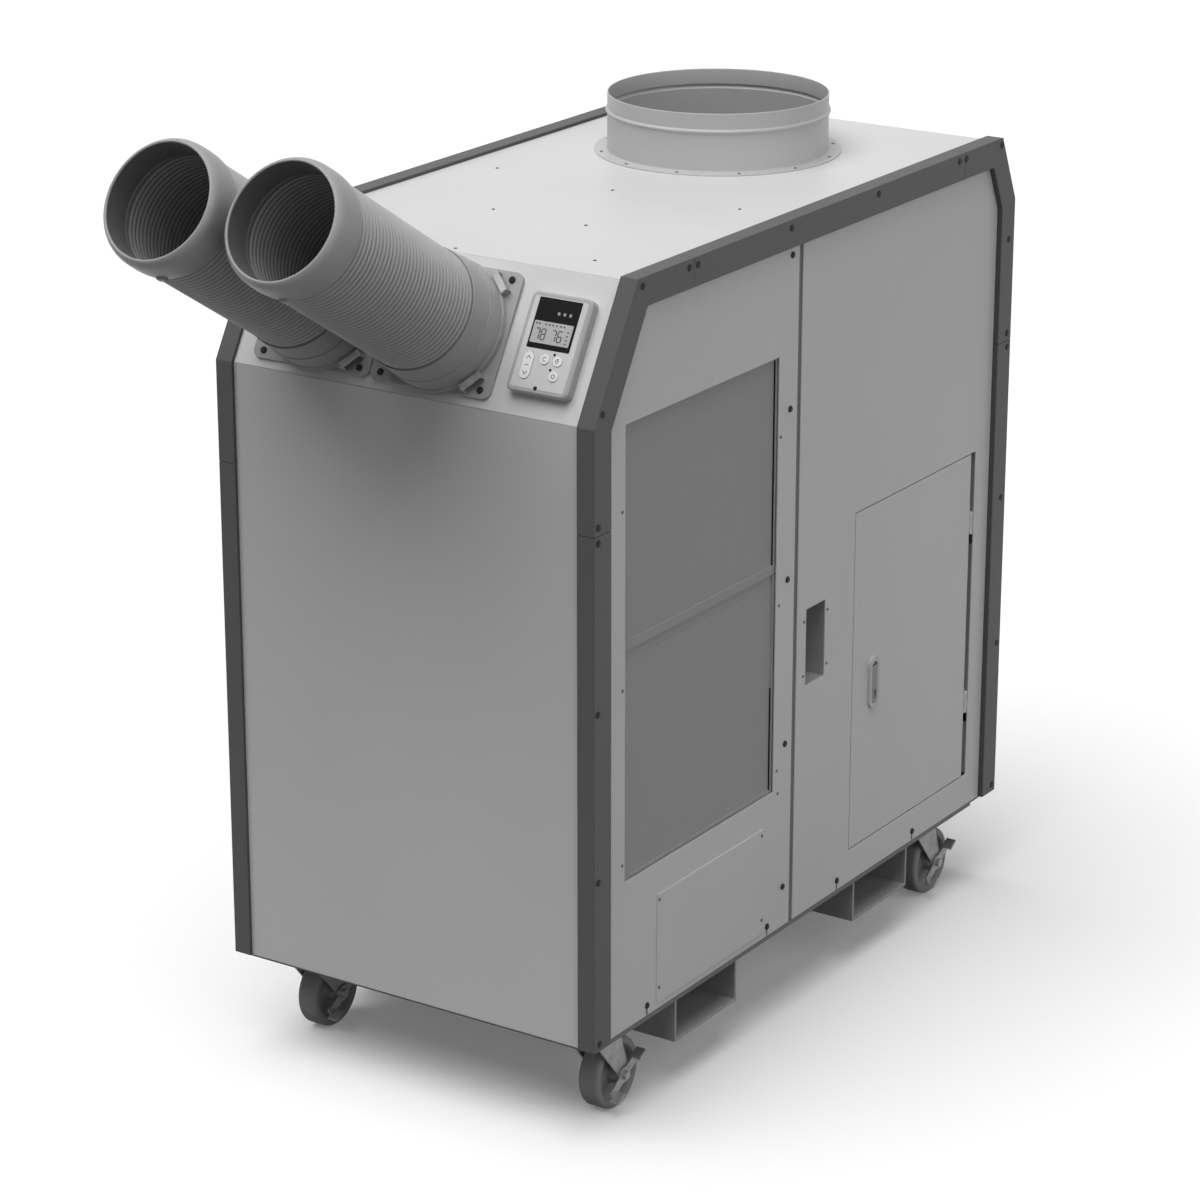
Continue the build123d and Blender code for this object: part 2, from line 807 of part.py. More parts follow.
def caster_fork(side, y):
    """Swivel fork: a round crown, two tapering cheeks and the axle."""
    top = crown_top()
    crown = Pos(0, 0, top - crown_height / 2) * Cylinder(crown_radius, crown_height)
    cheek_low = top - crown_height
    outline = [(-24, top - 5), (28, top - 5), (30, cheek_low - 4)]
    outline += [(trail + 13, wheel_radius + 4), (trail + 9, wheel_radius - 12)]
    outline += [(trail - 9, wheel_radius - 12), (trail - 14, wheel_radius + 6), (-24, cheek_low - 6)]
    inner = fork_half - fork_wall
    for x in (-fork_half, inner):
        face = make_face(Polyline(*[(x, along, z) for along, z in outline], close=True))
        crown += extrude(face, amount=fork_wall, dir=(1, 0, 0))
    bridge = box_between((-fork_half, fork_half), (-24, 28), (cheek_low, top - 5))
    crown += bridge
    axle_low = -fork_half - 4
    axle_high = fork_half + lever_wall + 5
    axle_place = Location(((axle_low + axle_high) / 2, trail, wheel_radius), (0, 90, 0))
    crown += axle_place * Cylinder(axle_radius, axle_high - axle_low)
    crown -= Pos(0, 0, top) * Cylinder(king_pin_radius + running_gap, 2 * crown_height)
    return caster_frame(side, y) * crown


def caster_wheel(side, y):
    """Wheel with a chamfered tread and a long hub."""
    tread = wheel_width / 2
    hub = fork_half - fork_wall - hub_gap
    profile = [(axle_radius + running_gap, hub), (14, hub), (17, tread)]
    profile += [(wheel_radius - 5, tread), (wheel_radius, tread - 6)]
    whole = profile + [(radius, -along) for radius, along in reversed(profile)]
    wheel = Location((0, trail, wheel_radius), (0, 90, 0)) * turned(*whole)
    return caster_frame(side, y) * wheel


def brake_lever(side, y):
    """See-saw brake lever on the axle's end, with a pad to press at each end."""
    inner = fork_half + 0.4
    plate = Cylinder(11, lever_wall)
    plate += Box(2 * lever_reach, 13, lever_wall)
    for end in (-1, 1):
        pad = Pos(end * (lever_reach - pad_length / 2 + 6), end * 5, (pad_width - lever_wall) / 2)
        plate += pad * Box(pad_length, 3, pad_width)
    plate -= Cylinder(axle_radius + running_gap, 40)
    turned_plate = Plane(
        origin=(inner + lever_wall / 2, trail, wheel_radius),
        x_dir=(0, math.cos(math.radians(lever_lean)), math.sin(math.radians(lever_lean))),
        z_dir=(1, 0, 0),
    )
    return caster_frame(side, y) * turned_plate.location * plate


def coil(x_span, y_span, z_span, plates_along):
    """Finned coil block between two tube plates."""
    block = box_between(x_span, y_span, z_span)
    spans = {"x": x_span, "y": y_span}
    low, high = spans[plates_along]
    grow = 6.0
    for start in (low - coil_plate, high):
        plate = (start, start + coil_plate)
        x = plate if plates_along == "x" else (x_span[0] - grow, x_span[1])
        y = plate if plates_along == "y" else (y_span[0] - grow, y_span[1])
        block += box_between(x, y, (z_span[0], z_span[1] + grow))
    return block


def evaporator_coil():
    front = frame_x - filter_depth - coil_inset
    y_span = (window_front - filter_lap, window_rear)
    z_span = (skirt_height, skirt_height + window_high)
    return coil((front - coil_depth, front), y_span, z_span, "y")


def condenser_coil():
    rear = cabinet_depth - frame_inset - angle_leg - coil_inset
    half = frame_x - angle_leg - 10
    high = louvre_low + (louvre_rows - 1) * louvre_pitch
    return coil((-half, half), (rear - coil_depth, rear), (skirt_height, skirt_height + high), "x")


def blower_wheel():
    """Squirrel-cage wheel: blades between a back disc and a front ring, on a shaft along X."""
    width = blower_wheel_width
    disc = Pos(0, 0, -width / 2 + 1.5) * Cylinder(blower_wheel_radius, 3)
    ring = Pos(0, 0, width / 2 - 1.5) * Cylinder(blower_wheel_radius, 3)
    ring -= Pos(0, 0, width / 2) * Cylinder(blower_wheel_radius - 18, 20)
    wheel = disc + ring
    for number in range(blower_blades):
        turn = number * 360 / blower_blades
        wheel += Rot(0, 0, turn) * Pos(blower_wheel_radius - 9, 0, 0) * Rot(0, 0, 35) * Box(16, 1.5, width)
    shaft_length = blower_motor_length * 0.6 + blower_gap + housing_wall + 3
    wheel += Pos(0, 0, -width / 2 - shaft_length / 2 + 3) * Cylinder(shaft_radius, shaft_length)
    wheel = Location((0, blower_place, blower_height), (0, 90, 0)) * wheel
    return Pos(nozzle_middle, 0, 0) * wheel


def blower_housing():
    """Scroll case open to the coil on its right, with a plenum that feeds both nozzles."""
    half = blower_wheel_width / 2 + blower_gap
    reach = nozzle_pitch / 2 + air_radius + 6
    wall = housing_wall

    def scroll(by, x_grow):
        radius = blower_wheel_radius + 40 - by
        drum = Location((nozzle_middle, blower_place, blower_height), (0, 90, 0)) * Cylinder(
            radius, 2 * (half + x_grow)
        )
        throat = box_between(
            (nozzle_middle - half - x_grow, nozzle_middle + half + x_grow),
            (blower_place - radius, blower_place + radius / 6),
            (blower_height, roof_top - nose_rise / 2 - by),
        )
        return drum + throat

    def plenum(by):
        outline = nose_plane.location * Pos(
            nozzle_middle, nozzle_up_slope, -face_recess - sheet - plenum_depth / 2 + by
        )
        return outline * Box(2 * (reach - by), plate_length - 4 - 2 * by, plenum_depth)

    shell = scroll(0, wall) + plenum(0)
    shell -= scroll(wall, 0)
    shell -= plenum(wall)
    inlet = Location((nozzle_middle + half, blower_place, blower_height), (0, 90, 0))
    shell -= inlet * Cylinder(blower_wheel_radius - 16, 20)
    motor_side = Location((nozzle_middle - half, blower_place, blower_height), (0, 90, 0))
    return shell - motor_side * Cylinder(shaft_radius * 2, 20)


def blower_motor():
    half = blower_wheel_width / 2 + blower_gap + housing_wall
    middle = nozzle_middle - half - blower_motor_length / 2
    place = Location((middle, blower_place, blower_height), (0, 90, 0))
    can = Cylinder(blower_motor_radius, blower_motor_length)
    can += Pos(0, 0, blower_motor_length / 2 - 2) * Box(*blower_foot)
    return place * (can - Cylinder(shaft_radius + running_gap, blower_motor_length + 2))


def compressor():
    """Upright welded compressor with domed ends, a foot plate and a terminal box."""
    radius = compressor_radius
    height = compressor_height
    shell = turned(
        (0, 6), (radius, 6), (radius, height - compressor_dome[1]),
        (radius - compressor_dome[0], height), (0, height)
    )
    foot = radius + compressor_plate[0]
    shell += box_between((-foot, foot), (-foot, foot), (0, compressor_plate[1]))
    proud, half, low, high = terminal_box
    shell += box_between((radius - 12, radius + proud), (-half, half), (low, high))
    return Pos(compressor_x, compressor_y, skirt_height) * shell


def tank_spans():
    x_high = panel_x - door_return - tank_inset
    y_span = (door_front + tank_inset, door_front + tank_inset + tank_length)
    z_low = skirt_height
    return (x_high - tank_width, x_high), y_span, (z_low, z_low + tank_height)


def drain_tank():
    """Open condensate tank with a turned rim and a grip across its front."""
    x_span, y_span, z_span = tank_spans()
    tank = box_between(x_span, y_span, z_span)
    rim = 5.0
    tank += box_between(
        (x_span[0] - rim, x_span[1] + rim),
        (y_span[0] - rim, y_span[1] + rim),
        (z_span[1] - 4, z_span[1]),
    )
    wall = tank_wall
    return tank - box_between(
        (x_span[0] + wall, x_span[1] - wall),
        (y_span[0] + wall, y_span[1] - wall),
        (z_span[0] + wall, z_span[1] + 1),
    )


def write(name, shape):
    """Puts a piece in the final frame, whose origin is on the floor midway from lip to rear."""
    placed = shape.moved(Location((0, -middle_y, 0)))
    export_step(placed, f"parts/{name}.step")
    print(name, len(placed.solids()))


def write_cabinet():
    right = trims()
    write("right_trims", right)
    write("left_trims", mirrored(right))
    write("frame", frame())
    write("front_panel", front_panel())
    write("nose_panel", nose_panel())
    write("roof_panel", roof_panel())
    write("rear_panel", rear_panel())
    write("right_front_panel", right_front_panel())
    write("right_rear_panel", right_rear_panel())
    write("left_front_panel", mirrored(side_sheet((0, post_place - seam_width / 2))))
    write("left_rear_panel", left_rear_panel())
    write("lower_filter", intake_filter(window_low - filter_lap, filter_split))
    write("upper_filter", intake_filter(filter_split, window_high + filter_lap))
    write("lower_cover", lower_cover())
    pocket = grip_pocket()
    write("grip_pockets", Compound(children=[pocket.solid(), mirrored(pocket).solid()]))
    write("access_door", access_door())
    write("door_hinges", door_hinges())
    write("latch_bezel", latch_bezel())
    write("latch_lever", latch_lever())
    write("base_pan", base_pan())
    tubes = [fork_tube(y).solid() for y in fork_tube_places]
    write("fork_tubes", Compound(children=tubes))


def write_air_path():
    write("exhaust_collar", exhaust_collar())
    write("exhaust_fan", exhaust_fan())
    write("exhaust_fan_motor", exhaust_fan_motor())
    for side, x in zip(sides, nozzle_xs):
        write(f"{side}_nozzle_plate", nozzle_plate(x))
        write(f"{side}_cuff", cuff(x))
        write(f"{side}_hose", ribbed_hose(x))
        write(f"{side}_end_ring", end_ring(x))
    write("nozzle_clips", nozzle_clips())
    write("evaporator_coil", evaporator_coil())
    write("condenser_coil", condenser_coil())
    write("blower_wheel", blower_wheel())
    write("blower_housing", blower_housing())
    write("blower_motor", blower_motor())
    write("compressor", compressor())
    write("drain_tank", drain_tank())


def write_controls():
    write("control_housing", control_housing())
    write("control_display", control_display())
    write("temperature_rocker", temperature_rocker())
    for name, place in zip(("mode_key", "timer_key", "power_key"), key_places):
        write(name, round_key(place))


def write_casters():
    mounts = []
    for side_name, side in (("right", 1), ("left", -1)):
        for end_name, y in zip(("front", "rear"), caster_places):
            name = f"{end_name}_{side_name}"
            mounts.append(caster_mount(side, y).solid())
            write(f"{name}_caster_fork", caster_fork(side, y))
            write(f"{name}_wheel", caster_wheel(side, y))
            write(f"{name}_brake_lever", brake_lever(side, y))
    write("caster_mounts", Compound(children=mounts))


os.makedirs("parts", exist_ok=True)
write_cabinet()
write_air_path()
write_controls()
write_casters()
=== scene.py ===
import math

import bmesh
import bpy
from mathutils import Matrix, Vector


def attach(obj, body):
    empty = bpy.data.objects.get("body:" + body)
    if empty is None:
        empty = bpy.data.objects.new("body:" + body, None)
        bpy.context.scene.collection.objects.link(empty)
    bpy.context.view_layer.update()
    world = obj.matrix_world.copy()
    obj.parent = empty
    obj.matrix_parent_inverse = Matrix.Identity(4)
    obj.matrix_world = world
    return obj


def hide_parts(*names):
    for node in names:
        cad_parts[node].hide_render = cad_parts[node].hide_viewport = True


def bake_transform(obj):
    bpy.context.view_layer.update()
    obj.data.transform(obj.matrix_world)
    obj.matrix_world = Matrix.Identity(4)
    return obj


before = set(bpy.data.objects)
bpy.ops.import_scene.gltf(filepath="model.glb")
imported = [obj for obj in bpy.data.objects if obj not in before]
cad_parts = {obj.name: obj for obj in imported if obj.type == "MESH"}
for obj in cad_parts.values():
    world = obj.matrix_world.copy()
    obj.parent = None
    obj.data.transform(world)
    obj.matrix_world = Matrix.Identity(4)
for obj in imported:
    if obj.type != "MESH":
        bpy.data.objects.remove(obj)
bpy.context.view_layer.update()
print("frame loaded:", len(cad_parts), "nodes")

# Where the cabinet stands in the frame, in metres
cabinet = {
    "front": -0.386838,
    "halfWidth": 0.29175,
    "panelX": 0.28375,
    "skirt": 0.138,
    "roof": 1.138,
    "noseLow": 0.970,
    "noseRun": 0.0976,
    "faceRecess": 0.0045,
}

noseAngle = math.atan2(cabinet["roof"] - cabinet["noseLow"], cabinet["noseRun"])
slopeWay = Vector((0, math.cos(noseAngle), math.sin(noseAngle)))
noseOut = Vector((0, -math.sin(noseAngle), math.cos(noseAngle)))
noseFoot = Vector((0, cabinet["front"], cabinet["noseLow"]))


def onNose(x, upSlope, rise=0.0):
    # a point of the sloping nose: across, up the slope, and out of it
    return noseFoot + Vector((x, 0, 0)) + slopeWay * upSlope + noseOut * rise


def noseMatrix(x, upSlope, rise=0.0):
    turn = Matrix((Vector((1, 0, 0)), slopeWay, noseOut)).transposed().to_4x4()
    return Matrix.Translation(onNose(x, upSlope, rise)) @ turn


def onSide(x, y, z):
    # a point counted behind the front and above the skirt
    return (x, cabinet["front"] + y, cabinet["skirt"] + z)


sides = (("right", 1), ("left", -1))


def pointing(azimuth, elevation):
    # turned from straight ahead and raised from level
    level = math.cos(elevation)
    return Vector((math.sin(azimuth) * level, -math.cos(azimuth) * level, math.sin(elevation)))


# Nozzles: both point the same way, a little off straight ahead
nozzle = {
    "centres": {"right": 0.039, "left": -0.146},
    "upSlope": 0.0955,
    "elevation": math.radians(31.8),
    "azimuth": math.radians(-0.9),
    "cuffEnd": 0.070,
    "ribs": 34,
    "ribPitch": 0.00765,
    "hoseCrest": 0.080,
    "mouth": 0.074,
    "ringRadius": 0.084,
    "ringLength": 0.048,
    "ringStep": 0.008,
    "slipGap": 0.0003,
}
nozzleWay = pointing(nozzle["azimuth"], nozzle["elevation"])
nozzleLevel = Vector((math.cos(nozzle["azimuth"]), math.sin(nozzle["azimuth"]), 0))
hoseEnd = nozzle["cuffEnd"] + nozzle["ribs"] * nozzle["ribPitch"]


def nozzleMatrix(side):
    # local +Z runs along the air
    up = nozzleWay.cross(nozzleLevel)
    turn = Matrix((nozzleLevel, up, nozzleWay)).transposed().to_4x4()
    return Matrix.Translation(onNose(nozzle["centres"][side], nozzle["upSlope"])) @ turn


def nodeLink(tree, start, end):
    tree.links.new(start, end)


def maths(tree, operation, first, second=None):
    # one step of arithmetic on numbers or sockets
    node = tree.nodes.new("ShaderNodeMath")
    node.operation = operation
    for socket, value in zip(node.inputs, (first, second)):
        if isinstance(value, (int, float)):
            socket.default_value = value
        elif value is not None:
            nodeLink(tree, value, socket)
    return node.outputs[0]


def newMaterial(name, colour, roughness, metallic=0.0):
    material = bpy.data.materials.new(name)
    material.use_nodes = True
    shader = material.node_tree.nodes["Principled BSDF"]
    shader.inputs["Base Color"].default_value = (*colour, 1)
    shader.inputs["Roughness"].default_value = roughness
    shader.inputs["Metallic"].default_value = metallic
    material.diffuse_color = (*colour, 1)
    return material, material.node_tree, shader


def objectCoordinates(tree):
    return tree.nodes.new("ShaderNodeTexCoord").outputs["Object"]


def noiseNode(tree, where, scale, detail):
    node = tree.nodes.new("ShaderNodeTexNoise")
    node.inputs["Scale"].default_value = scale
    node.inputs["Detail"].default_value = detail
    nodeLink(tree, where, node.inputs["Vector"])
    return node.outputs["Fac"]


def spread(tree, value, low, high, fromLow=0.0, fromHigh=1.0):
    node = tree.nodes.new("ShaderNodeMapRange")
    node.inputs["From Min"].default_value = fromLow
    node.inputs["From Max"].default_value = fromHigh
    node.inputs["To Min"].default_value = low
    node.inputs["To Max"].default_value = high
    nodeLink(tree, value, node.inputs["Value"])
    return node.outputs["Result"]


def tint(tree, shader, value, first, second):
    # mixes two tones, colours or sockets, by a 0..1 value into the base colour
    mix = tree.nodes.new("ShaderNodeMix")
    mix.data_type = "RGBA"
    for label, tone in (("A", first), ("B", second)):
        if isinstance(tone, tuple):
            mix.inputs[label].default_value = (*tone, 1)
        else:
            nodeLink(tree, tone, mix.inputs[label])
    nodeLink(tree, value, mix.inputs["Factor"])
    nodeLink(tree, mix.outputs["Result"], shader.inputs["Base Color"])


def bumpFrom(tree, shader, height, distance, strength=1.0, edgeRadius=0.0):
    bump = tree.nodes.new("ShaderNodeBump")
    bump.inputs["Distance"].default_value = distance
    bump.inputs["Strength"].default_value = strength
    nodeLink(tree, height, bump.inputs["Height"])
    if edgeRadius:
        bevel = tree.nodes.new("ShaderNodeBevel")
        bevel.samples = 6
        bevel.inputs["Radius"].default_value = edgeRadius
        nodeLink(tree, bevel.outputs["Normal"], bump.inputs["Normal"])
    nodeLink(tree, bump.outputs["Normal"], shader.inputs["Normal"])


def scaled(colour, factor):
    return tuple(min(1.0, part * factor) for part in colour)


# the part of a noise that is stretched to the full range
noiseLow, noiseHigh = 0.3, 0.7


def clouded(tree, shader, where, scale, detail, colour, dark, light):
    # slow change of tone
    cloud = spread(tree, noiseNode(tree, where, scale, detail), 0, 1, noiseLow, noiseHigh)
    tint(tree, shader, cloud, scaled(colour, dark), scaled(colour, light))


def roughened(tree, shader, noise, low, high):
    nodeLink(tree, spread(tree, noise, low, high, noiseLow, noiseHigh), shader.inputs["Roughness"])


def powderCoat(name, colour, roughness=0.42, edge=0.0012, grain=700):
    # sprayed powder: faint orange peel, slow change of tone, small round edges
    material, tree, shader = newMaterial(name, colour, roughness)
    where = objectCoordinates(tree)
    clouded(tree, shader, where, 2.2, 3, colour, 0.965, 1.03)
    peel = noiseNode(tree, where, grain, 2)
    roughened(tree, shader, peel, roughness - 0.05, roughness + 0.07)
    bumpFrom(tree, shader, peel, 0.00005, 0.6, edge)
    return material


def mouldedPlastic(name, colour, roughness=0.5, edge=0.0008, grain=1600, depth=0.00004):
    # spark-eroded mould texture
    material, tree, shader = newMaterial(name, colour, roughness)
    where = objectCoordinates(tree)
    clouded(tree, shader, where, 6, 3, colour, 0.93, 1.06)
    fine = noiseNode(tree, where, grain, 3)
    roughened(tree, shader, fine, roughness - 0.06, roughness + 0.08)
    bumpFrom(tree, shader, fine, depth, 0.7, edge)
    return material


def grooveShadedPlastic(name, colour):
    # moulded plastic with painted shade darkening the grooves between the ribs
    material = mouldedPlastic(name, colour, 0.40, 0)
    tree = material.node_tree
    shader = tree.nodes["Principled BSDF"]
    unshadedTone = shader.inputs["Base Color"].links[0].from_socket
    groove = tree.nodes.new("ShaderNodeAttribute")
    groove.attribute_name = "groove"
    # painted shade: deep in each groove the colour drops to 0.38 of itself
    tint(tree, shader, spread(tree, groove.outputs["Fac"], 0, 1, 0.1, 0.9), unshadedTone, scaled(colour, 0.38))
    return material


def platedSteel(name, colour, roughness=0.32, edge=0.0006, metallic=0.9):
    # zinc plate: rolled streaks and small cloudy crystals
    material, tree, shader = newMaterial(name, colour, roughness, metallic)
    where = objectCoordinates(tree)
    clouded(tree, shader, where, 60, 4, colour, 0.8, 1.1)
    roughened(tree, shader, noiseNode(tree, where, 190, 3), roughness - 0.08, roughness + 0.12)
    bumpFrom(tree, shader, noiseNode(tree, where, 900, 2), 0.00002, 0.5, edge)
    return material


def bandPattern(tree, where, axis, pitch, width):
    # 1 on the threads of a net, 0 in its gaps, across one axis
    part = tree.nodes.new("ShaderNodeSeparateXYZ")
    nodeLink(tree, where, part.inputs["Vector"])
    wrapped = maths(tree, "PINGPONG", part.outputs[axis], pitch / 2)
    return spread(tree, wrapped, 1, 0, width * 0.35, width * 0.65)


def crossing(tree, where, first, second):
    # two bands laid across each other, each given as axis, pitch and width
    return maths(tree, "MAXIMUM", bandPattern(tree, where, *first), bandPattern(tree, where, *second))


def wovenFilter(name, thread, gap, pitch):
    # woven filter net, its threads raised over dark gaps
    material, tree, shader = newMaterial(name, thread, 0.62)
    where = objectCoordinates(tree)
    threads = crossing(tree, where, ("Y", pitch, pitch * 0.7), ("Z", pitch, pitch * 0.7))
    tint(tree, shader, threads, gap, thread)
    bumpFrom(tree, shader, threads, 0.0003, 0.8)
    return material


def finnedCoil(name, colour):
    # stacked aluminium fins at 2 mm
    material, tree, shader = newMaterial(name, colour, 0.35, 0.8)
    where = objectCoordinates(tree)
    fins = crossing(tree, where, ("X", 0.002, 0.0012), ("Z", 0.025, 0.0012))
    tint(tree, shader, fins, scaled(colour, 0.25), colour)
    bumpFrom(tree, shader, fins, 0.0004, 0.7)
    return material


def grey(level):
    return (level, level, level)


finish = {
    "panel": grey(0.66),
    # painted shade: the collar's tone is the panel paint darkened for the shade on its upright wall
    "collar": grey(0.52),
    "trim": (0.062, 0.062, 0.063),
    "frame": grey(0.13),
    "nozzle": grey(0.35),
    "hose": grey(0.42),
    # painted shade: the bore of the outlet ring, darkened to stand for the shade inside the mouth
    "ringMouthShade": grey(0.12),
    # painted shade: the hose's inner wall is darkened to stand for the shade inside the tube
    "hoseInnerShade": grey(0.045),
    "filter": grey(0.38),
    "filterGap": grey(0.20),
    "screw": grey(0.012),
    "rivet": grey(0.09),
    "latch": grey(0.55),
    "lever": grey(0.24),
    "pocket": grey(0.36),
    "fan": grey(0.06),
    "coil": grey(0.55),
    "enamel": grey(0.02),
    "zinc": grey(0.45),
    "tank": (0.55, 0.55, 0.54),
    "control": grey(0.40),
    "controlFace": grey(0.60),
    "key": grey(0.82),
    "window": grey(0.008),
    "liquid": (0.47, 0.47, 0.46),
    "print": grey(0.06),
    "lamp": grey(0.35),
    "tube": grey(0.33),
    "caster": grey(0.36),
    "tread": grey(0.30),
    "clip": grey(0.42),
}

panelCoat = powderCoat("panelCoat", finish["panel"])
# painted shade: a darker copy of the panel coat for the upright collar
collarShadeCoat = powderCoat("collarShadeCoat", finish["collar"])
trimCoat = powderCoat("trimCoat", finish["trim"], 0.55, 0.0022, 900)
frameCoat = powderCoat("frameCoat", finish["frame"], 0.55, 0.0006, 900)
tubeCoat = powderCoat("tubeCoat", finish["tube"], 0.5, 0.0015, 900)
latchCoat = powderCoat("latchCoat", finish["latch"], 0.38, 0.0006, 900)
leverCoat = powderCoat("leverCoat", finish["lever"], 0.38, 0.0006, 900)
pocketCoat = mouldedPlastic("pocketMoulding", finish["pocket"], 0.6)
fanPlastic = mouldedPlastic("fanMoulding", finish["fan"], 0.5)
rivetCoat = mouldedPlastic("rivetCoat", finish["rivet"], 0.5, 0)
nozzlePlastic = mouldedPlastic("nozzleMoulding", finish["nozzle"], 0.42, 0.0012)
hosePlastic = grooveShadedPlastic("hoseMoulding", finish["hose"])
ringMouthShade = mouldedPlastic("ringMouthShade", finish["ringMouthShade"], 0.55, 0)
# painted shade inside the hose
innerShadePlastic = mouldedPlastic("hoseInnerShade", finish["hoseInnerShade"], 0.6, 0)
filterNet = wovenFilter("filterNet", finish["filter"], finish["filterGap"], 0.0024)
coilFins = finnedCoil("coilFins", finish["coil"])
machineEnamel = powderCoat("machineEnamel", finish["enamel"], 0.3, 0.0015, 300)
sheetZinc = platedSteel("sheetZinc", finish["zinc"])
casterZinc = platedSteel("casterZinc", finish["caster"], 0.42, 0.0006, 0.6)
clipSteel = platedSteel("clipSteel", finish["clip"], 0.38, 0.0006, 0.5)
tankPlastic = mouldedPlastic("tankMoulding", finish["tank"], 0.45)
treadRubber = mouldedPlastic("treadRubber", finish["tread"], 0.7, 0.0012, 500, 0.00012)
screwSteel = mouldedPlastic("screwBlack", finish["screw"], 0.55, 0.0002, 900)
controlPlastic = mouldedPlastic("controlMoulding", finish["control"], 0.45, 0.0012)
controlFacePlastic = mouldedPlastic("controlFace", finish["controlFace"], 0.5, 0)
keyPlastic = mouldedPlastic("keyMoulding", finish["key"], 0.4, 0.0007)
windowGloss = mouldedPlastic("windowGloss", finish["window"], 0.4, 0.0004, 120, 0.000004)
liquidPane = mouldedPlastic("liquidPane", finish["liquid"], 0.25, 0, 400, 0.000004)
printGrey = mouldedPlastic("printGrey", finish["print"], 0.5, 0)
lampGrey = mouldedPlastic("lampGrey", finish["lamp"], 0.4, 0)
for material, shine in ((screwSteel, 0.2), (windowGloss, 0.1)):
    material.node_tree.nodes["Principled BSDF"].inputs["Specular IOR Level"].default_value = shine
print("finishes made:", len(bpy.data.materials))

coats = [
    (panelCoat, "front_panel nose_panel roof_panel rear_panel lower_cover access_door door_hinges exhaust_collar"),
    (panelCoat, "right_front_panel right_rear_panel left_front_panel left_rear_panel"),
    (trimCoat, "right_trims left_trims"),
    (frameCoat, "frame base_pan"),
    (tubeCoat, "fork_tubes"),
    (latchCoat, "latch_bezel"),
    (leverCoat, "latch_lever"),
    (pocketCoat, "grip_pockets"),
    (filterNet, "lower_filter upper_filter"),
    (nozzlePlastic, "right_nozzle_plate left_nozzle_plate right_cuff left_cuff right_end_ring left_end_ring"),
    (hosePlastic, "right_hose left_hose"),
    (clipSteel, "nozzle_clips"),
    (controlPlastic, "control_housing"),
    (windowGloss, "control_display"),
    (keyPlastic, "temperature_rocker mode_key timer_key power_key"),
    (coilFins, "evaporator_coil condenser_coil"),
    (sheetZinc, "blower_wheel blower_housing"),
    (machineEnamel, "blower_motor compressor exhaust_fan_motor"),
    (fanPlastic, "exhaust_fan"),
    (tankPlastic, "drain_tank"),
    (casterZinc, "caster_mounts"),
]
nodeFinish = {node: material for material, nodes in coats for node in nodes.split()}
for corner in ("front_right", "front_left", "rear_right", "rear_left"):
    nodeFinish[corner + "_caster_fork"] = casterZinc
    nodeFinish[corner + "_brake_lever"] = casterZinc
    nodeFinish[corner + "_wheel"] = treadRubber


def paint(thing, material):
    thing.data.materials.clear()
    thing.data.materials.append(material)


for nodeName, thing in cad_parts.items():
    if nodeName in nodeFinish:
        paint(thing, nodeFinish[nodeName])
    else:
        print("no finish for", nodeName)


def linked(name, data):
    thing = bpy.data.objects.new(name, data)
    bpy.context.scene.collection.objects.link(thing)
    return thing


def finishMesh(thing, material, smooth=True, angle=32):
    work = bmesh.new()
    work.from_mesh(thing.data)
    bmesh.ops.remove_doubles(work, verts=work.verts, dist=1e-6)
    bmesh.ops.recalc_face_normals(work, faces=work.faces)
    for face in work.faces:
        face.smooth = smooth
    if smooth:
        for edge in work.edges:
            if len(edge.link_faces) == 2 and edge.calc_face_angle(0) > math.radians(angle):
                edge.smooth = False
    work.to_mesh(thing.data)
    work.free()
    if material:
        paint(thing, material)


def pieceFrom(work, name, material, body, smooth=True):
    # a bmesh turned into a finished piece that rides its body
    mesh = bpy.data.meshes.new(name)
    work.to_mesh(mesh)
    work.free()
    thing = linked(name, mesh)
    finishMesh(thing, material, smooth)
    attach(thing, body)
    return thing


def revolved(name, profile, matrix, material, body, steps, angle):
    # profile: (radius, height) pairs of a closed outline, turned about the matrix's local Z
    vertices = []
    faces = []
    count = len(profile)
    for step in range(steps):
        turn = 2 * math.pi * step / steps
        for radius, height in profile:
            vertices.append(matrix @ Vector((radius * math.cos(turn), radius * math.sin(turn), height)))
    for step in range(steps):
        here, after = step * count, (step + 1) % steps * count
        for place in range(count):
            nextPlace = (place + 1) % count
            faces.append((here + place, after + place, after + nextPlace, here + nextPlace))
    mesh = bpy.data.meshes.new(name)
    mesh.from_pydata([tuple(v) for v in vertices], [], faces)
    thing = linked(name, mesh)
    finishMesh(thing, material, True, angle)
    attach(thing, body)
    return thing


def arcProfile(centre, radius, start, end, steps):
    points = []
    for step in range(steps + 1):
        turn = math.radians(start + (end - start) * step / steps)
        points.append((centre[0] + radius * math.cos(turn), centre[1] + radius * math.sin(turn)))
    return points


# Geometry Nodes: small trees that repeat one form on many places
def newTree(name, sockets):
    tree = bpy.data.node_groups.new(name, "GeometryNodeTree")
    tree.interface.new_socket("Geometry", in_out="INPUT", socket_type="NodeSocketGeometry")
    for label, kind in sockets:
        tree.interface.new_socket(label, in_out="INPUT", socket_type=kind)
    tree.interface.new_socket("Geometry", in_out="OUTPUT", socket_type="NodeSocketGeometry")
    return tree


def plainMesh(thing, name):
    # what its tree or curve makes, as a plain mesh; the thing itself goes
    graph = bpy.context.evaluated_depsgraph_get()
    mesh = bpy.data.meshes.new_from_object(thing.evaluated_get(graph))
    mesh.name = name
    bpy.data.objects.remove(thing, do_unlink=True)
    return mesh


def treeMesh(thing, tree, values, name):
    modifier = thing.modifiers.new("shape", "NODES")
    modifier.node_group = tree
    for item in tree.interface.items_tree:
        if item.item_type == "SOCKET" and item.in_out == "INPUT" and item.name in values:
            modifier[item.identifier] = values[item.name]
    return plainMesh(thing, name)


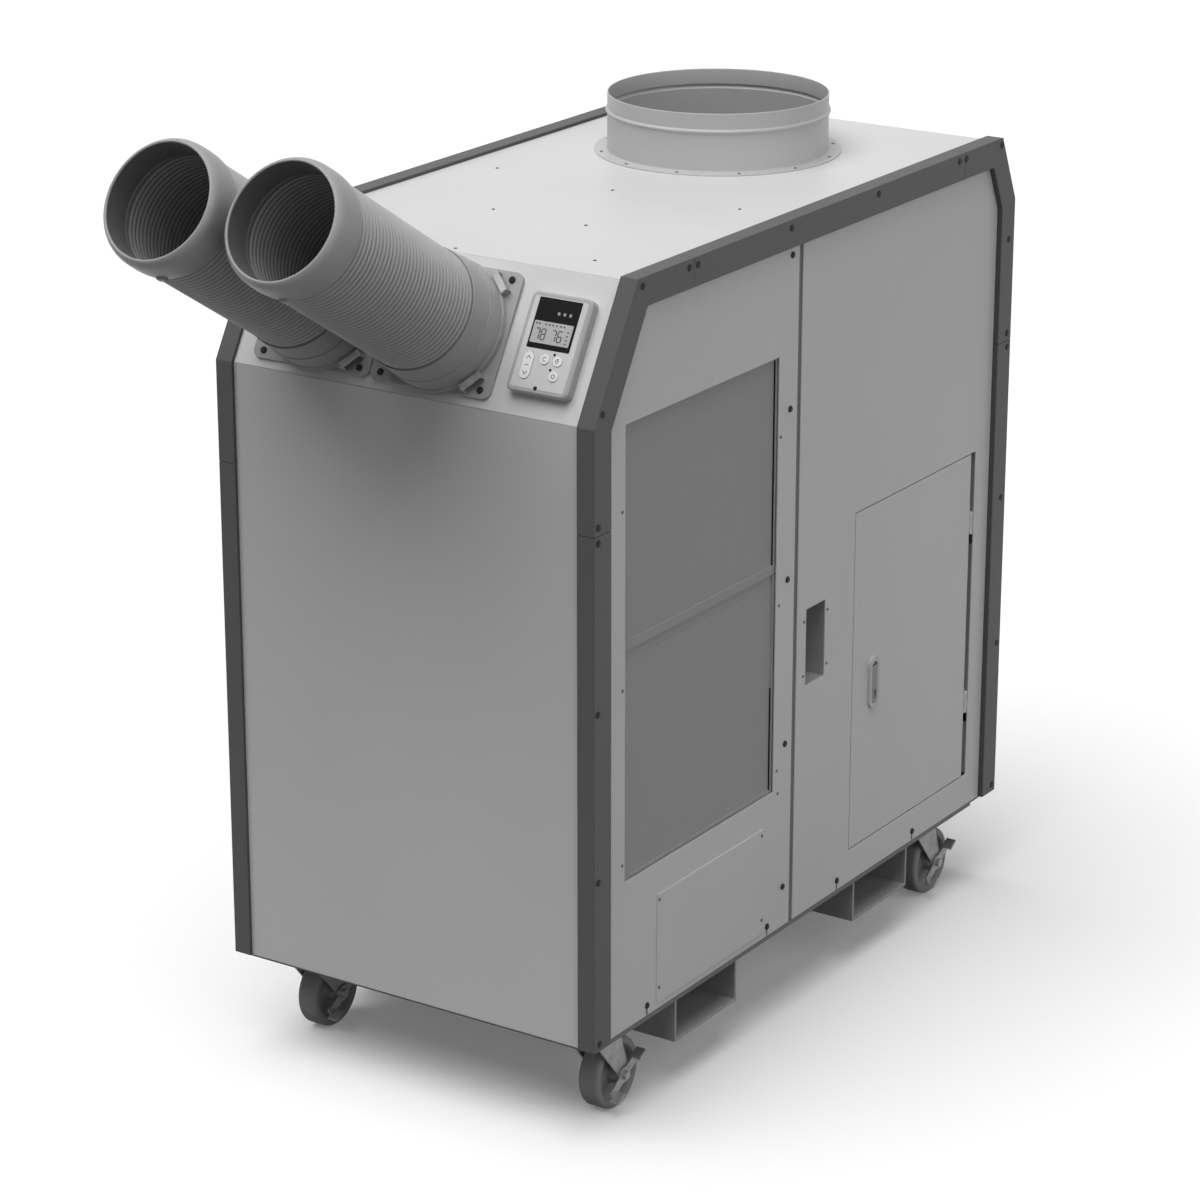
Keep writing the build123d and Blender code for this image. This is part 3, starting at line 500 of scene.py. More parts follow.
def endTree(tree, geometry, groupIn):
    # real geometry in one material
    nodes = tree.nodes
    real = nodes.new("GeometryNodeRealizeInstances")
    nodeLink(tree, geometry, real.inputs[0])
    setMaterial = nodes.new("GeometryNodeSetMaterial")
    nodeLink(tree, real.outputs[0], setMaterial.inputs["Geometry"])
    nodeLink(tree, groupIn.outputs["Material"], setMaterial.inputs["Material"])
    nodeLink(tree, setMaterial.outputs[0], nodes.new("NodeGroupOutput").inputs[0])


screwHead = {"sides": 20, "topShare": 0.72, "wallShare": 0.5}


def screwTree():
    # a round head, straight below and drawn in above, on every point, turned to its facing
    tree = newTree(
        "screwHeads",
        [("Radius", "NodeSocketFloat"), ("Height", "NodeSocketFloat"), ("Material", "NodeSocketMaterial")],
    )
    nodes = tree.nodes
    groupIn = nodes.new("NodeGroupInput")
    radius, height = groupIn.outputs["Radius"], groupIn.outputs["Height"]
    wall = maths(tree, "MULTIPLY", height, screwHead["wallShare"])
    lower = nodes.new("GeometryNodeMeshCylinder")
    upper = nodes.new("GeometryNodeMeshCone")
    nodeLink(tree, radius, lower.inputs["Radius"])
    nodeLink(tree, radius, upper.inputs["Radius Bottom"])
    nodeLink(tree, maths(tree, "MULTIPLY", radius, screwHead["topShare"]), upper.inputs["Radius Top"])
    join = nodes.new("GeometryNodeJoinGeometry")
    # the cylinder is counted from its middle, the cone from its foot
    for shape, rise in ((upper, wall), (lower, maths(tree, "MULTIPLY", wall, 0.5))):
        shape.inputs["Vertices"].default_value = screwHead["sides"]
        nodeLink(tree, wall, shape.inputs["Depth"])
        lift = nodes.new("ShaderNodeCombineXYZ")
        nodeLink(tree, rise, lift.inputs["Z"])
        move = nodes.new("GeometryNodeTransform")
        nodeLink(tree, shape.outputs["Mesh"], move.inputs["Geometry"])
        nodeLink(tree, lift.outputs[0], move.inputs["Translation"])
        nodeLink(tree, move.outputs[0], join.inputs[0])
    toPoints = nodes.new("GeometryNodeMeshToPoints")
    nodeLink(tree, groupIn.outputs["Geometry"], toPoints.inputs["Mesh"])
    facing = nodes.new("GeometryNodeInputNamedAttribute")
    facing.data_type = "FLOAT_VECTOR"
    facing.inputs["Name"].default_value = "facing"
    align = nodes.new("FunctionNodeAlignRotationToVector")
    align.axis = "Z"
    nodeLink(tree, facing.outputs["Attribute"], align.inputs["Vector"])
    spreadOut = nodes.new("GeometryNodeInstanceOnPoints")
    nodeLink(tree, toPoints.outputs[0], spreadOut.inputs["Points"])
    nodeLink(tree, join.outputs[0], spreadOut.inputs["Instance"])
    nodeLink(tree, align.outputs["Rotation"], spreadOut.inputs["Rotation"])
    endTree(tree, spreadOut.outputs[0], groupIn)
    return tree


screwHeads = screwTree()


def scatterScrews(name, places, size, material, body):
    # places: list of (point, outward direction)
    mesh = bpy.data.meshes.new(name + "Places")
    mesh.from_pydata([tuple(point) for point, _ in places], [], [])
    facing = mesh.attributes.new("facing", "FLOAT_VECTOR", "POINT")
    for index, (_, way) in enumerate(places):
        facing.data[index].vector = way
    values = {"Radius": size["radius"], "Height": size["height"], "Material": material}
    thing = linked(name, treeMesh(linked(name + "Places", mesh), screwHeads, values, name))
    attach(thing, body)


def sidePlaces(sign, x, spots):
    # spots on a side: (distance behind the front, height above the skirt)
    return [(onSide(sign * x, y, z), (sign, 0, 0)) for y, z in spots]


trimScrews = {
    "radius": 0.0047,
    "height": 0.0012,
    "places": [
        (0.019, 0.848), (0.009, 0.706), (0.009, 0.686), (0.008, 0.462), (0.009, 0.235), (0.012, 0.010),
        (0.108, 0.989), (0.215, 0.989), (0.235, 0.989), (0.463, 0.989), (0.690, 0.989), (0.916, 0.990),
        (0.936, 0.990), (1.040, 0.990), (1.071, 0.848), (1.075, 0.709), (1.077, 0.688), (1.074, 0.462),
        (1.077, 0.236), (1.077, 0.011),
    ],
}
for sideName, sign in sides:
    places = sidePlaces(sign, cabinet["halfWidth"], trimScrews["places"])
    scatterScrews(sideName + "TrimScrews", places, trimScrews, screwSteel, "cabinet")

sideScrews = {
    "radius": 0.0045,
    "height": 0.0022,
    "seam": [(0.479, 0.949), (0.479, 0.741), (0.479, 0.504), (0.479, 0.269), (0.479, 0.059)],
    "foot": [(0.136, 0.014), (0.439, 0.014), (0.629, 0.014), (0.846, 0.014)],
}
for sideName, sign in sides:
    places = sidePlaces(sign, cabinet["panelX"], sideScrews["seam"] + sideScrews["foot"])
    scatterScrews(sideName + "PanelScrews", places, sideScrews, screwSteel, "cabinet")

rivets = {
    "radius": 0.0022,
    "height": 0.0009,
    "places": [
        (0.075, 0.707), (0.076, 0.471), (0.076, 0.233), (0.456, 0.708), (0.458, 0.473), (0.459, 0.236),
        (0.462, 0.202), (0.525, 0.430), (0.525, 0.352), (0.588, 0.430), (0.588, 0.352),
    ],
}
places = sidePlaces(1, cabinet["panelX"], rivets["places"])
scatterScrews("sideRivets", places, rivets, rivetCoat, "cabinet")

smallScrews = {
    "radius": 0.0024,
    "height": 0.001,
    "sheet": 0.0015,
    "cover": [(0.420, 0.155), (0.422, 0.030), (0.163, 0.155), (0.163, 0.030)],
    "roof": [
        (-0.002, 0.489), (0.077, 0.306), (0.196, 0.490), (-0.073, 0.313), (-0.205, 0.512), (0.007, 0.115),
        (0.187, 0.160),
    ],
}
places = sidePlaces(1, cabinet["panelX"] + smallScrews["sheet"], smallScrews["cover"])
scatterScrews("coverScrews", places, smallScrews, rivetCoat, "cabinet")
roofZ = cabinet["roof"] - cabinet["faceRecess"]
places = [((x, cabinet["front"] + y, roofZ), (0, 0, 1)) for x, y in smallScrews["roof"]]
scatterScrews("roofScrews", places, smallScrews, rivetCoat, "cabinet")

collar = {
    "x": -0.018, "y": 0.394162, "radius": 0.154, "height": 0.082, "wall": 0.0015, "flange": 0.018,
    "screwRing": 0.164, "screws": 12, "firstScrew": 12, "footStart": 0.002, "footRound": 0.0022,
    "rimStart": 0.0012, "rimRound": 0.0008,
    "bead": 0.057, "beadRound": 0.0026, "beadHalf": 0.0032,
}
places = []
for number in range(collar["screws"]):
    turn = math.radians(360 * number / collar["screws"] + collar["firstScrew"])
    across = Vector((math.cos(turn), math.sin(turn), 0)) * collar["screwRing"]
    places.append((Vector((collar["x"], collar["y"], roofZ + collar["wall"])) + across, (0, 0, 1)))
scatterScrews("collarScrews", places, smallScrews, rivetCoat, "cabinet")

plateBolts = {"halfX": 0.076, "halfUp": 0.072, "radius": 0.0046, "height": 0.0026}
places = []
for centre in nozzle["centres"].values():
    for sx in (-1, 1):
        for sy in (-1, 1):
            spot = onNose(centre + sx * plateBolts["halfX"], nozzle["upSlope"] + sy * plateBolts["halfUp"])
            places.append((spot, noseOut))
scatterScrews("plateBolts", places, plateBolts, screwSteel, "cabinet")
print("screws placed")


hose = {
    "outerPerRib": 8, "innerPerRib": 4, "around": 145, "ribDepth": 0.0036, "sharp": 1.5,
    "innerCrest": 0.0760, "innerDepth": 0.0009, "tail": 0.0077, "bendInset": 0.004,
}


def hoseTree():
    # a tube from a grid: along it the radius swings between valley and crest, one swing a rib
    tree = newTree(
        "ribbedTube",
        [
            ("Crest", "NodeSocketFloat"), ("Depth", "NodeSocketFloat"), ("Ribs", "NodeSocketFloat"),
            ("Length", "NodeSocketFloat"), ("Along", "NodeSocketInt"), ("Around", "NodeSocketInt"),
            ("Material", "NodeSocketMaterial"),
        ],
    )
    nodes = tree.nodes
    groupIn = nodes.new("NodeGroupInput")
    grid = nodes.new("GeometryNodeMeshGrid")
    for axis, count in (("X", "Along"), ("Y", "Around")):
        grid.inputs["Size " + axis].default_value = 1
        nodeLink(tree, groupIn.outputs[count], grid.inputs["Vertices " + axis])
    parts = nodes.new("ShaderNodeSeparateXYZ")
    nodeLink(tree, nodes.new("GeometryNodeInputPosition").outputs[0], parts.inputs[0])

    def times(first, second):
        return maths(tree, "MULTIPLY", first, second)

    along = maths(tree, "ADD", parts.outputs["X"], 0.5)
    turn = times(parts.outputs["Y"], 2 * math.pi)
    swing = maths(tree, "COSINE", times(times(along, groupIn.outputs["Ribs"]), 2 * math.pi))
    dip = maths(tree, "POWER", times(maths(tree, "ADD", swing, 1), 0.5), hose["sharp"])
    radius = maths(tree, "SUBTRACT", groupIn.outputs["Crest"], times(dip, groupIn.outputs["Depth"]))
    combine = nodes.new("ShaderNodeCombineXYZ")
    nodeLink(tree, times(radius, maths(tree, "COSINE", turn)), combine.inputs["X"])
    nodeLink(tree, times(radius, maths(tree, "SINE", turn)), combine.inputs["Y"])
    nodeLink(tree, times(along, groupIn.outputs["Length"]), combine.inputs["Z"])
    # the groove depth, kept as the mask of the painted shade in the grooves
    store = nodes.new("GeometryNodeStoreNamedAttribute")
    store.inputs["Name"].default_value = "groove"
    nodeLink(tree, grid.outputs["Mesh"], store.inputs["Geometry"])
    nodeLink(tree, dip, store.inputs["Value"])
    shift = nodes.new("GeometryNodeSetPosition")
    nodeLink(tree, store.outputs["Geometry"], shift.inputs["Geometry"])
    nodeLink(tree, combine.outputs[0], shift.inputs["Position"])
    weld = nodes.new("GeometryNodeMergeByDistance")
    weld.inputs["Distance"].default_value = 1e-6
    nodeLink(tree, shift.outputs[0], weld.inputs["Geometry"])
    endTree(tree, weld.outputs[0], groupIn)
    return tree


ribbedTube = hoseTree()


def extruded(work, ring, rise, radius=None):
    # a loop of open edges drawn on: up by rise, or out to a radius; gives the new open loop
    result = bmesh.ops.extrude_edge_only(work, edges=ring)
    for item in result["geom"]:
        if isinstance(item, bmesh.types.BMVert):
            if radius:
                item.co.xy = item.co.xy.normalized() * radius
            item.co.z += rise
    return [item for item in result["geom"] if isinstance(item, bmesh.types.BMEdge)]


def makeHose(side):
    length = hoseEnd - nozzle["cuffEnd"]
    shells = []
    for crest, depth, perRib, material in (
        (nozzle["hoseCrest"], hose["ribDepth"], hose["outerPerRib"], hosePlastic),
        # the inner wall takes the painted shade of the tube's inside
        (hose["innerCrest"], hose["innerDepth"], hose["innerPerRib"], innerShadePlastic),
    ):
        values = {
            "Crest": crest, "Depth": depth, "Ribs": float(nozzle["ribs"]), "Length": length,
            "Along": nozzle["ribs"] * perRib + 1, "Around": hose["around"], "Material": material,
        }
        shells.append(treeMesh(linked("seed", bpy.data.meshes.new("seed")), ribbedTube, values, "shell"))
    # outer and inner wall joined by plain tails that sit in the cuff and in the end ring
    work = bmesh.new()
    work.from_mesh(shells[0])
    firstCount = len(work.faces)
    bmesh.ops.recalc_face_normals(work, faces=work.faces)
    work.from_mesh(shells[1])
    work.faces.ensure_lookup_table()
    for index, face in enumerate(work.faces):
        face.material_index = 0 if index < firstCount else 1
        face.smooth = True
    for low in (True, False):
        ends = []
        for outside in (True, False):
            ring = [
                edge for edge in work.edges
                if len(edge.link_faces) == 1 and (edge.verts[0].co.z < length / 2) == low
                and (edge.verts[0].co.xy.length > hose["innerCrest"]) == outside
            ]
            if outside:
                ring = extruded(work, ring, 0, nozzle["hoseCrest"])
            ends += extruded(work, ring, -hose["tail"] if low else hose["tail"])
        bmesh.ops.bridge_loops(work, edges=ends)
    bmesh.ops.recalc_face_normals(work, faces=work.faces)
    matrix = nozzleMatrix(side) @ Matrix.Translation((0, 0, nozzle["cuffEnd"]))
    bmesh.ops.transform(work, matrix=matrix, verts=work.verts)
    mesh = bpy.data.meshes.new(side + "RibbedHose")
    work.to_mesh(mesh)
    work.free()
    thing = linked(side + "RibbedHose", mesh)
    mesh.materials.clear()
    mesh.materials.append(hosePlastic)
    mesh.materials.append(innerShadePlastic)
    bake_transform(thing)
    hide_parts(side + "_hose")


def smoothedCorners(corners, steps=6):
    # quadratic curve that keeps inside its corners
    points = [corners[0]]
    for before, corner, after in zip(corners, corners[1:], corners[2:]):
        start = [(a + b) / 2 for a, b in zip(before, corner)]
        end = [(a + b) / 2 for a, b in zip(corner, after)]
        for step in range(steps + 1):
            t = step / steps
            points.append(tuple(
                (1 - t) ** 2 * a + 2 * t * (1 - t) * b + t * t * c for a, b, c in zip(start, corner, end)
            ))
    return points + [corners[-1]]


# corners of the outlet ring's outline, counted from its radius and end, and from its mouth
outlet = {
    "back": [(-0.0016, 0), (-0.0006, 0.006), (0, 0.016)],
    "lip": [(-0.0006, -0.013), (-0.0026, -0.0055), (-0.0066, -0.0002)],
    "mouth": [(0.0004, -0.0002), (0, -0.004)],
    "mouthShadeReach": 0.0002, "mouthShadeStart": 0.003,
}


def makeEndRing(side):
    # rounded outlet ring: drawn lip, painted shade on the bore inside the mouth, a pocket for the hose
    back = hoseEnd
    front = hoseEnd + nozzle["ringLength"]
    outer, mouth = nozzle["ringRadius"], nozzle["mouth"]
    pocket = nozzle["hoseCrest"] + nozzle["slipGap"]
    outside = [(pocket, back)]
    for radius, end, corners in ((outer, back, "back"), (outer, front, "lip"), (mouth, front, "mouth")):
        outside += [(radius + across, end + along) for across, along in outlet[corners]]
    profile = smoothedCorners(outside)
    profile += [(mouth, back + nozzle["ringStep"]), (pocket, back + nozzle["ringStep"])]
    matrix = nozzleMatrix(side)
    thing = revolved(
        side + "OutletRing", profile, matrix, nozzlePlastic, side + "_nozzle", 160, 40
    )
    thing.data.materials.append(ringMouthShade)
    inward = matrix.inverted()
    for face in thing.data.polygons:
        spot = inward @ face.center
        # faces on the bore, short of the lip, take the painted shade
        if spot.xy.length < mouth + outlet["mouthShadeReach"] and spot.z < front - outlet["mouthShadeStart"]:
            face.material_index = 1
    return thing


lug = {"wide": 0.012, "long": 0.010, "high": 0.0026, "turn": math.radians(-82), "along": 0.007, "soft": 0.0009}


def makeLug(side):
    work = bmesh.new()
    bmesh.ops.create_cube(work, size=1)
    bmesh.ops.scale(work, vec=(lug["high"] * 2, lug["wide"], lug["long"]), verts=work.verts)
    bmesh.ops.bevel(work, geom=work.edges[:], offset=lug["soft"], segments=3, affect="EDGES")
    place = Matrix.Translation((nozzle["ringRadius"], 0, hoseEnd + lug["along"]))
    matrix = nozzleMatrix(side) @ Matrix.Rotation(lug["turn"], 4, "Z") @ place
    bmesh.ops.transform(work, matrix=matrix, verts=work.verts)
    pieceFrom(work, side + "RingLug", nozzlePlastic, side + "_nozzle")


for side in ("right", "left"):
    makeHose(side)
    ring = makeEndRing(side)
    makeLug(side)
    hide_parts(side + "_end_ring")
print("hoses and outlet rings made")

window = {
    "front": 0.072, "rear": 0.460, "low": 0.198, "split": 0.519, "high": 0.828,
    "bar": 0.013, "face": 0.28175, "depth": 0.012, "inset": 0.0012, "gap": 0.0006, "splitGap": 0.0004,
    "netBack": 0.003, "netThick": 0.002, "netTuck": 0.001,
}


def barBox(work, low, high, soft):
    # a block between two corners with softened edges
    made = bmesh.ops.create_cube(work, size=1)["verts"]
    middle = [(a + b) / 2 for a, b in zip(low, high)]
    size = [b - a for a, b in zip(low, high)]
    bmesh.ops.scale(work, vec=size, verts=made)
    bmesh.ops.translate(work, vec=middle, verts=made)
    edges = list({edge for vert in made for edge in vert.link_edges})
    bmesh.ops.bevel(work, geom=edges, offset=soft, segments=2, affect="EDGES")


def barsObject(name, boxes, material, body, soft=0.0006):
    work = bmesh.new()
    for low, high in boxes:
        barBox(work, low, high, soft)
    return pieceFrom(work, name, material, body)


def makeFilter(name, node, low, high):
    # a thin frame with its net just behind the front; the lower one tucks behind the upper one's bar
    face = window["face"] - window["inset"]
    back = face - window["depth"] + 2 * window["inset"]
    front, rear, bar = window["front"] + window["gap"], window["rear"] - window["gap"], window["bar"]
    net = face - window["netBack"]
    topFace = net if node == "lower_filter" else face
    inner, outer = bar - window["netTuck"], bar
    boxes = [
        (onSide(back, front, low), onSide(face, front + bar, high)),
        (onSide(back, rear - bar, low), onSide(face, rear, high)),
        (onSide(back, front + outer, high - bar), onSide(topFace, rear - outer, high)),
        (onSide(back, front + outer, low), onSide(face, rear - outer, low + bar)),
        (onSide(net - window["netThick"], front + inner, low + inner), onSide(net, rear - inner, high - inner)),
    ]
    thing = barsObject(name, boxes, filterNet, "cabinet")
    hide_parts(node)


makeFilter("lowerNet", "lower_filter", window["low"] + window["gap"], window["split"] - window["splitGap"])
makeFilter("upperNet", "upper_filter", window["split"] + window["splitGap"], window["high"] - window["gap"])

doorJamb = {
    "face": 0.2700, "sheet": 0.0015, "front": 0.982, "rear": 1.014, "low": 0.046, "high": 0.551,
    "edge": 1.0066, "behind": 0.2820, "soft": 0.0003,
    "returns": [(0.0505, 0.1315), (0.1665, 0.4075), (0.4425, 0.5465)],
}
jambBoxes = [(
    onSide(doorJamb["face"] - doorJamb["sheet"], doorJamb["front"], doorJamb["low"]),
    onSide(doorJamb["face"], doorJamb["rear"], doorJamb["high"]),
)]
for low, high in doorJamb["returns"]:
    jambBoxes.append((
        onSide(doorJamb["face"] - doorJamb["sheet"] / 2, doorJamb["edge"], low),
        onSide(doorJamb["behind"], doorJamb["edge"] + doorJamb["sheet"], high),
    ))
barsObject("doorJamb", jambBoxes, pocketCoat, "cabinet", doorJamb["soft"])

# painted shade: thin dark plates on the side panels stand for the open slots below the foot screws
footNotchShade = {"low": 0.0006, "high": 0.0115, "width": 0.0034, "proud": 0.00025, "sunk": 0.0004, "soft": 0.0001}
for sideName, sign in sides:
    inner, outer = sign * (cabinet["panelX"] - footNotchShade["sunk"]), sign * (cabinet["panelX"] + footNotchShade["proud"])
    boxes = []
    for y, z in sideScrews["foot"]:
        low = onSide(min(inner, outer), y - footNotchShade["width"] / 2, footNotchShade["low"])
        high = onSide(max(inner, outer), y + footNotchShade["width"] / 2, footNotchShade["high"])
        boxes.append((low, high))
    barsObject(sideName + "FootNotchShades", boxes, rivetCoat, "cabinet", footNotchShade["soft"])
print("filters, jamb and notches made")


def makeCollar():
    # spun collar with a rolled rim, a bead and its flange
    radius, wall, rim, foot = collar["radius"], collar["wall"], collar["rimRound"], collar["footRound"]
    inner, flange = radius - wall, radius + collar["flange"]
    beadLow, beadHigh = collar["bead"] - collar["beadHalf"], collar["bead"] + collar["beadHalf"]
    profile = [(inner, 0), (flange, 0), (flange, wall), (radius + collar["footStart"], wall)]
    profile += arcProfile((radius + foot, wall + foot), foot, -90, -180, 4)
    profile += [(radius, beadLow)]
    profile += arcProfile((radius, collar["bead"]), collar["beadRound"], -70, 70, 8)
    profile += [(radius, beadHigh), (radius, collar["height"] - collar["rimStart"])]
    profile += arcProfile((radius - rim, collar["height"] - rim), rim, 0, 180, 6)
    profile += [(inner, beadHigh)]
    profile += arcProfile((inner, collar["bead"]), collar["beadRound"], 70, -70, 8)
    profile += [(inner, beadLow)]
    matrix = Matrix.Translation((collar["x"], collar["y"], roofZ))
    thing = revolved("ductCollar", profile, matrix, collarShadeCoat, "cabinet", 192, 40)
    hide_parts("exhaust_collar")


makeCollar()


def roundedOutline(width, height, radius, steps=6):
    points = []
    for cx, cy, start in (
        (width / 2 - radius, height / 2 - radius, 0), (-width / 2 + radius, height / 2 - radius, 90),
        (-width / 2 + radius, -height / 2 + radius, 180), (width / 2 - radius, -height / 2 + radius, 270),
    ):
        for step in range(steps + 1):
            turn = math.radians(start + 90 * step / steps)
            points.append((cx + radius * math.cos(turn), cy + radius * math.sin(turn)))
    return points


control = {
    "x": 0.201, "up": 0.0935, "rise": 0.010, "faceWide": 0.078, "faceTall": 0.117, "faceThick": 0.0004,
    "faceRound": 0.003,
    "holes": [
        (0.2005, 0.1185, 0.0632, 0.0652, 0.0012), (0.178, 0.0635, 0.0150, 0.0360, 0.0074),
        (0.201, 0.074, 0.0138, 0.0138, 0.0068), (0.220, 0.074, 0.0138, 0.0138, 0.0068),
        (0.220, 0.0545, 0.0138, 0.0138, 0.0068),
    ],
}


def plates(name, marks, thickness, material, body, smooth=False):
    # thin plates as one piece, each from an outline in its matrix's XY plane
    work = bmesh.new()
    for outline, matrix in marks:
        verts = [work.verts.new((x, y, 0)) for x, y in outline]
        result = bmesh.ops.extrude_face_region(work, geom=[work.faces.new(verts)])
        moved = [item for item in result["geom"] if isinstance(item, bmesh.types.BMVert)]
        bmesh.ops.translate(work, vec=(0, 0, thickness), verts=moved)
        bmesh.ops.transform(work, matrix=matrix, verts=list(set(verts + moved)))
    pieceFrom(work, name, material, body, smooth)


# segments of a digit: a top, b and c right, d bottom, e and f left, g middle
digitSegments = {"7": "abc", "8": "abcdefg", "6": "acdefg"}


display = {
    "x": 0.1995, "up": 0.107, "wide": 0.057, "tall": 0.028, "round": 0.0012, "print": 0.00012,
    "digits": [("7", 0.1790), ("8", 0.1877), ("7", 0.2032), ("6", 0.2119)], "digitUp": 0.1045,
    "digitWide": 0.0058, "digitTall": 0.0138, "stroke": 0.0016, "barShare": 0.86,
    "ticks": [0.1745, 0.1790, 0.1880, 0.1935, 0.1985, 0.2040, 0.2100, 0.2150], "tickUp": 0.1175,
    "tickSize": (0.0026, 0.0022, 0.0006, 3),
    "dashes": [0.1115, 0.1065, 0.1015, 0.0965], "dashX": 0.2225, "dashSize": (0.0030, 0.0016, 0.0004, 3),
    "lamps": [0.2020, 0.2105, 0.2190], "lampUp": 0.1330, "lampSize": (0.0036, 0.0040, 0.0014, 4),
}


def digitMarks(digit, x, rise):
    wide, line, half = display["digitWide"], display["stroke"], display["digitTall"] / 2
    bars = {
        "a": (0, half, wide, line), "g": (0, 0, wide, line), "d": (0, -half, wide, line),
        "b": (wide / 2, half / 2, line, half), "c": (wide / 2, -half / 2, line, half),
        "f": (-wide / 2, half / 2, line, half), "e": (-wide / 2, -half / 2, line, half),
    }
    marks = []
    for letter in digitSegments[digit]:
        cx, cy, *size = bars[letter]
        w, h = [length * display["barShare"] if length > line else length for length in size]
        outline = [(-w / 2, -h / 2), (w / 2, -h / 2), (w / 2, h / 2), (-w / 2, h / 2)]
        marks.append((outline, noseMatrix(x + cx, display["digitUp"] + cy, rise)))
    return marks


def makeDisplay():
    pane = roundedOutline(display["wide"], display["tall"], display["round"])
    where = noseMatrix(display["x"], display["up"], control["rise"])
    plates("liquidPane", [(pane, where)], display["print"], liquidPane, "cabinet", True)
    over = control["rise"] + display["print"]
    marks = []
    for digit, x in display["digits"]:
        marks += digitMarks(digit, x, over)
    for x in display["ticks"]:
        marks.append((roundedOutline(*display["tickSize"]), noseMatrix(x, display["tickUp"], over)))
    for up in display["dashes"]:
        marks.append((roundedOutline(*display["dashSize"]), noseMatrix(display["dashX"], up, over)))
    plates("paneDigits", marks, display["print"], printGrey, "cabinet")
    lamp = roundedOutline(*display["lampSize"])
    marks = [(lamp, noseMatrix(x, display["lampUp"], control["rise"])) for x in display["lamps"]]
    plates("statusLamps", marks, display["print"], lampGrey, "cabinet")


makeDisplay()


def makeControlFace():
    # a lighter face plate on the housing, open round the window and the keys
    curve = bpy.data.curves.new("controlFace", "CURVE")
    curve.dimensions = "2D"
    curve.fill_mode = "BOTH"
    curve.extrude = control["faceThick"] / 2
    face = (control["x"], control["up"], control["faceWide"], control["faceTall"], control["faceRound"])
    outlines = [face] + control["holes"]
    for x, up, wide, tall, radius in outlines:
        spline = curve.splines.new("POLY")
        points = roundedOutline(wide, tall, radius)
        spline.points.add(len(points) - 1)
        for point, (px, py) in zip(spline.points, points):
            point.co = (x + px, up + py, 0, 1)
        spline.use_cyclic_u = True
    mesh = plainMesh(linked("faceCurve", curve), "controlFacePlate")
    mesh.transform(noseMatrix(0, 0, control["rise"] + control["faceThick"] / 2))
    thing = linked("controlFacePlate", mesh)
    finishMesh(thing, controlFacePlastic, False)
    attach(thing, "cabinet")


makeControlFace()


def stroke(points, width):
    # flat outlines of a bent line, one quad for each run
    quads = []
    for (x0, y0), (x1, y1) in zip(points, points[1:]):
        run = math.hypot(x1 - x0, y1 - y0)
        nx, ny = -(y1 - y0) / run * width / 2, (x1 - x0) / run * width / 2
        quads.append([(x0 + nx, y0 + ny), (x0 - nx, y0 - ny), (x1 - nx, y1 - ny), (x1 + nx, y1 + ny)])
    return quads


def ringPoints(start, end, steps=10):
    return arcProfile((0, 0), keys["ring"], start, end, steps)


keys = {
    "rise": 0.0115, "mark": 0.0001, "line": 0.0009, "ring": 0.0026,
    "lamps": [(0.2128, 0.0815), (0.2128, 0.0620)], "lamp": {"radius": 0.0019, "height": 0.0008},
    "screws": [(0.199, 0.0365)], "screw": {"radius": 0.0028, "height": 0.0009},
}
upArrow = [(-0.003, 0.008), (0, 0.012), (0.003, 0.008)]
keyMarks = [
    ("rockerMarks", "rocker", 0.178, 0.0635, [upArrow, [(x, -y) for x, y in upArrow], [(-0.003, 0), (0.003, 0)]]),
    ("modeMarks", "mode_button", 0.201, 0.074, [ringPoints(40, 320)]),
    ("timerMarks", "timer_button", 0.220, 0.074, [ringPoints(60, 300), [(0, 0), (0.0026, 0)], [(0, 0), (0, 0.002)]]),
    ("powerMarks", "power_button", 0.220, 0.0545, [ringPoints(-230, 50), [(0, 0.0005), (0, 0.0038)]]),
]
for name, body, x, up, lines in keyMarks:
    where = noseMatrix(x, up, keys["rise"])
    marks = [(quad, where) for line in lines for quad in stroke(line, keys["line"])]
    plates(name, marks, keys["mark"], printGrey, body)
places = [(onNose(x, up, control["rise"]), noseOut) for x, up in keys["lamps"]]
scatterScrews("keyLamps", places, keys["lamp"], screwSteel, "cabinet")
places = [(onNose(x, up, control["rise"]), noseOut) for x, up in keys["screws"]]
scatterScrews("controlScrew", places, keys["screw"], screwSteel, "cabinet")
print("controller marked")

casters = {
    "x": 0.231, "places": {"front": -0.299838, "rear": 0.553162}, "trail": 0.037, "radius": 0.050,
    "width": 0.031, "hub": 0.0202, "hubRadius": 0.0138, "hubEdge": 0.0013, "hubRound": 0.0014,
    "axle": 0.0061, "shoulder": 0.0052, "rim": [(0.0385, 0.0016), (0.0400, 0.0002), (0.0440, 0)], "crown": 0.006,
    "dish": [(0.0150, 0.0075), (0.0170, 0.0060), (0.0335, 0.0060), (0.0360, 0.0072), (0.0376, 0.0125)],
    "plate": 0.131, "boltX": 0.026, "boltY": 0.040, "bolt": {"radius": 0.0055, "height": 0.004},
}


def makeWheel(name, x, y):
    # grey tyre on a dished centre with a turned hub
    r, hub, hubRadius, shoulder = (casters[key] for key in ("radius", "hub", "hubRadius", "shoulder"))
    half = casters["width"] / 2
    side = [(casters["axle"], hub), (hubRadius - casters["hubEdge"], hub), (hubRadius, hub - casters["hubRound"])]
    side += casters["dish"] + [(radius, half - inward) for radius, inward in casters["rim"]]
    side += arcProfile((r - shoulder, half - shoulder), shoulder, 80, 8, 7)
    side += [(r, casters["crown"])]
    profile = side + [(radius, -height) for radius, height in reversed(side)]
    matrix = Matrix.Translation((x, y, r)) @ Matrix.Rotation(math.radians(90), 4, "Y")
    thing = revolved(name + "Tyre", profile, matrix, treadRubber, name + "_roller", 96, 30)
    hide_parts(name + "_wheel")


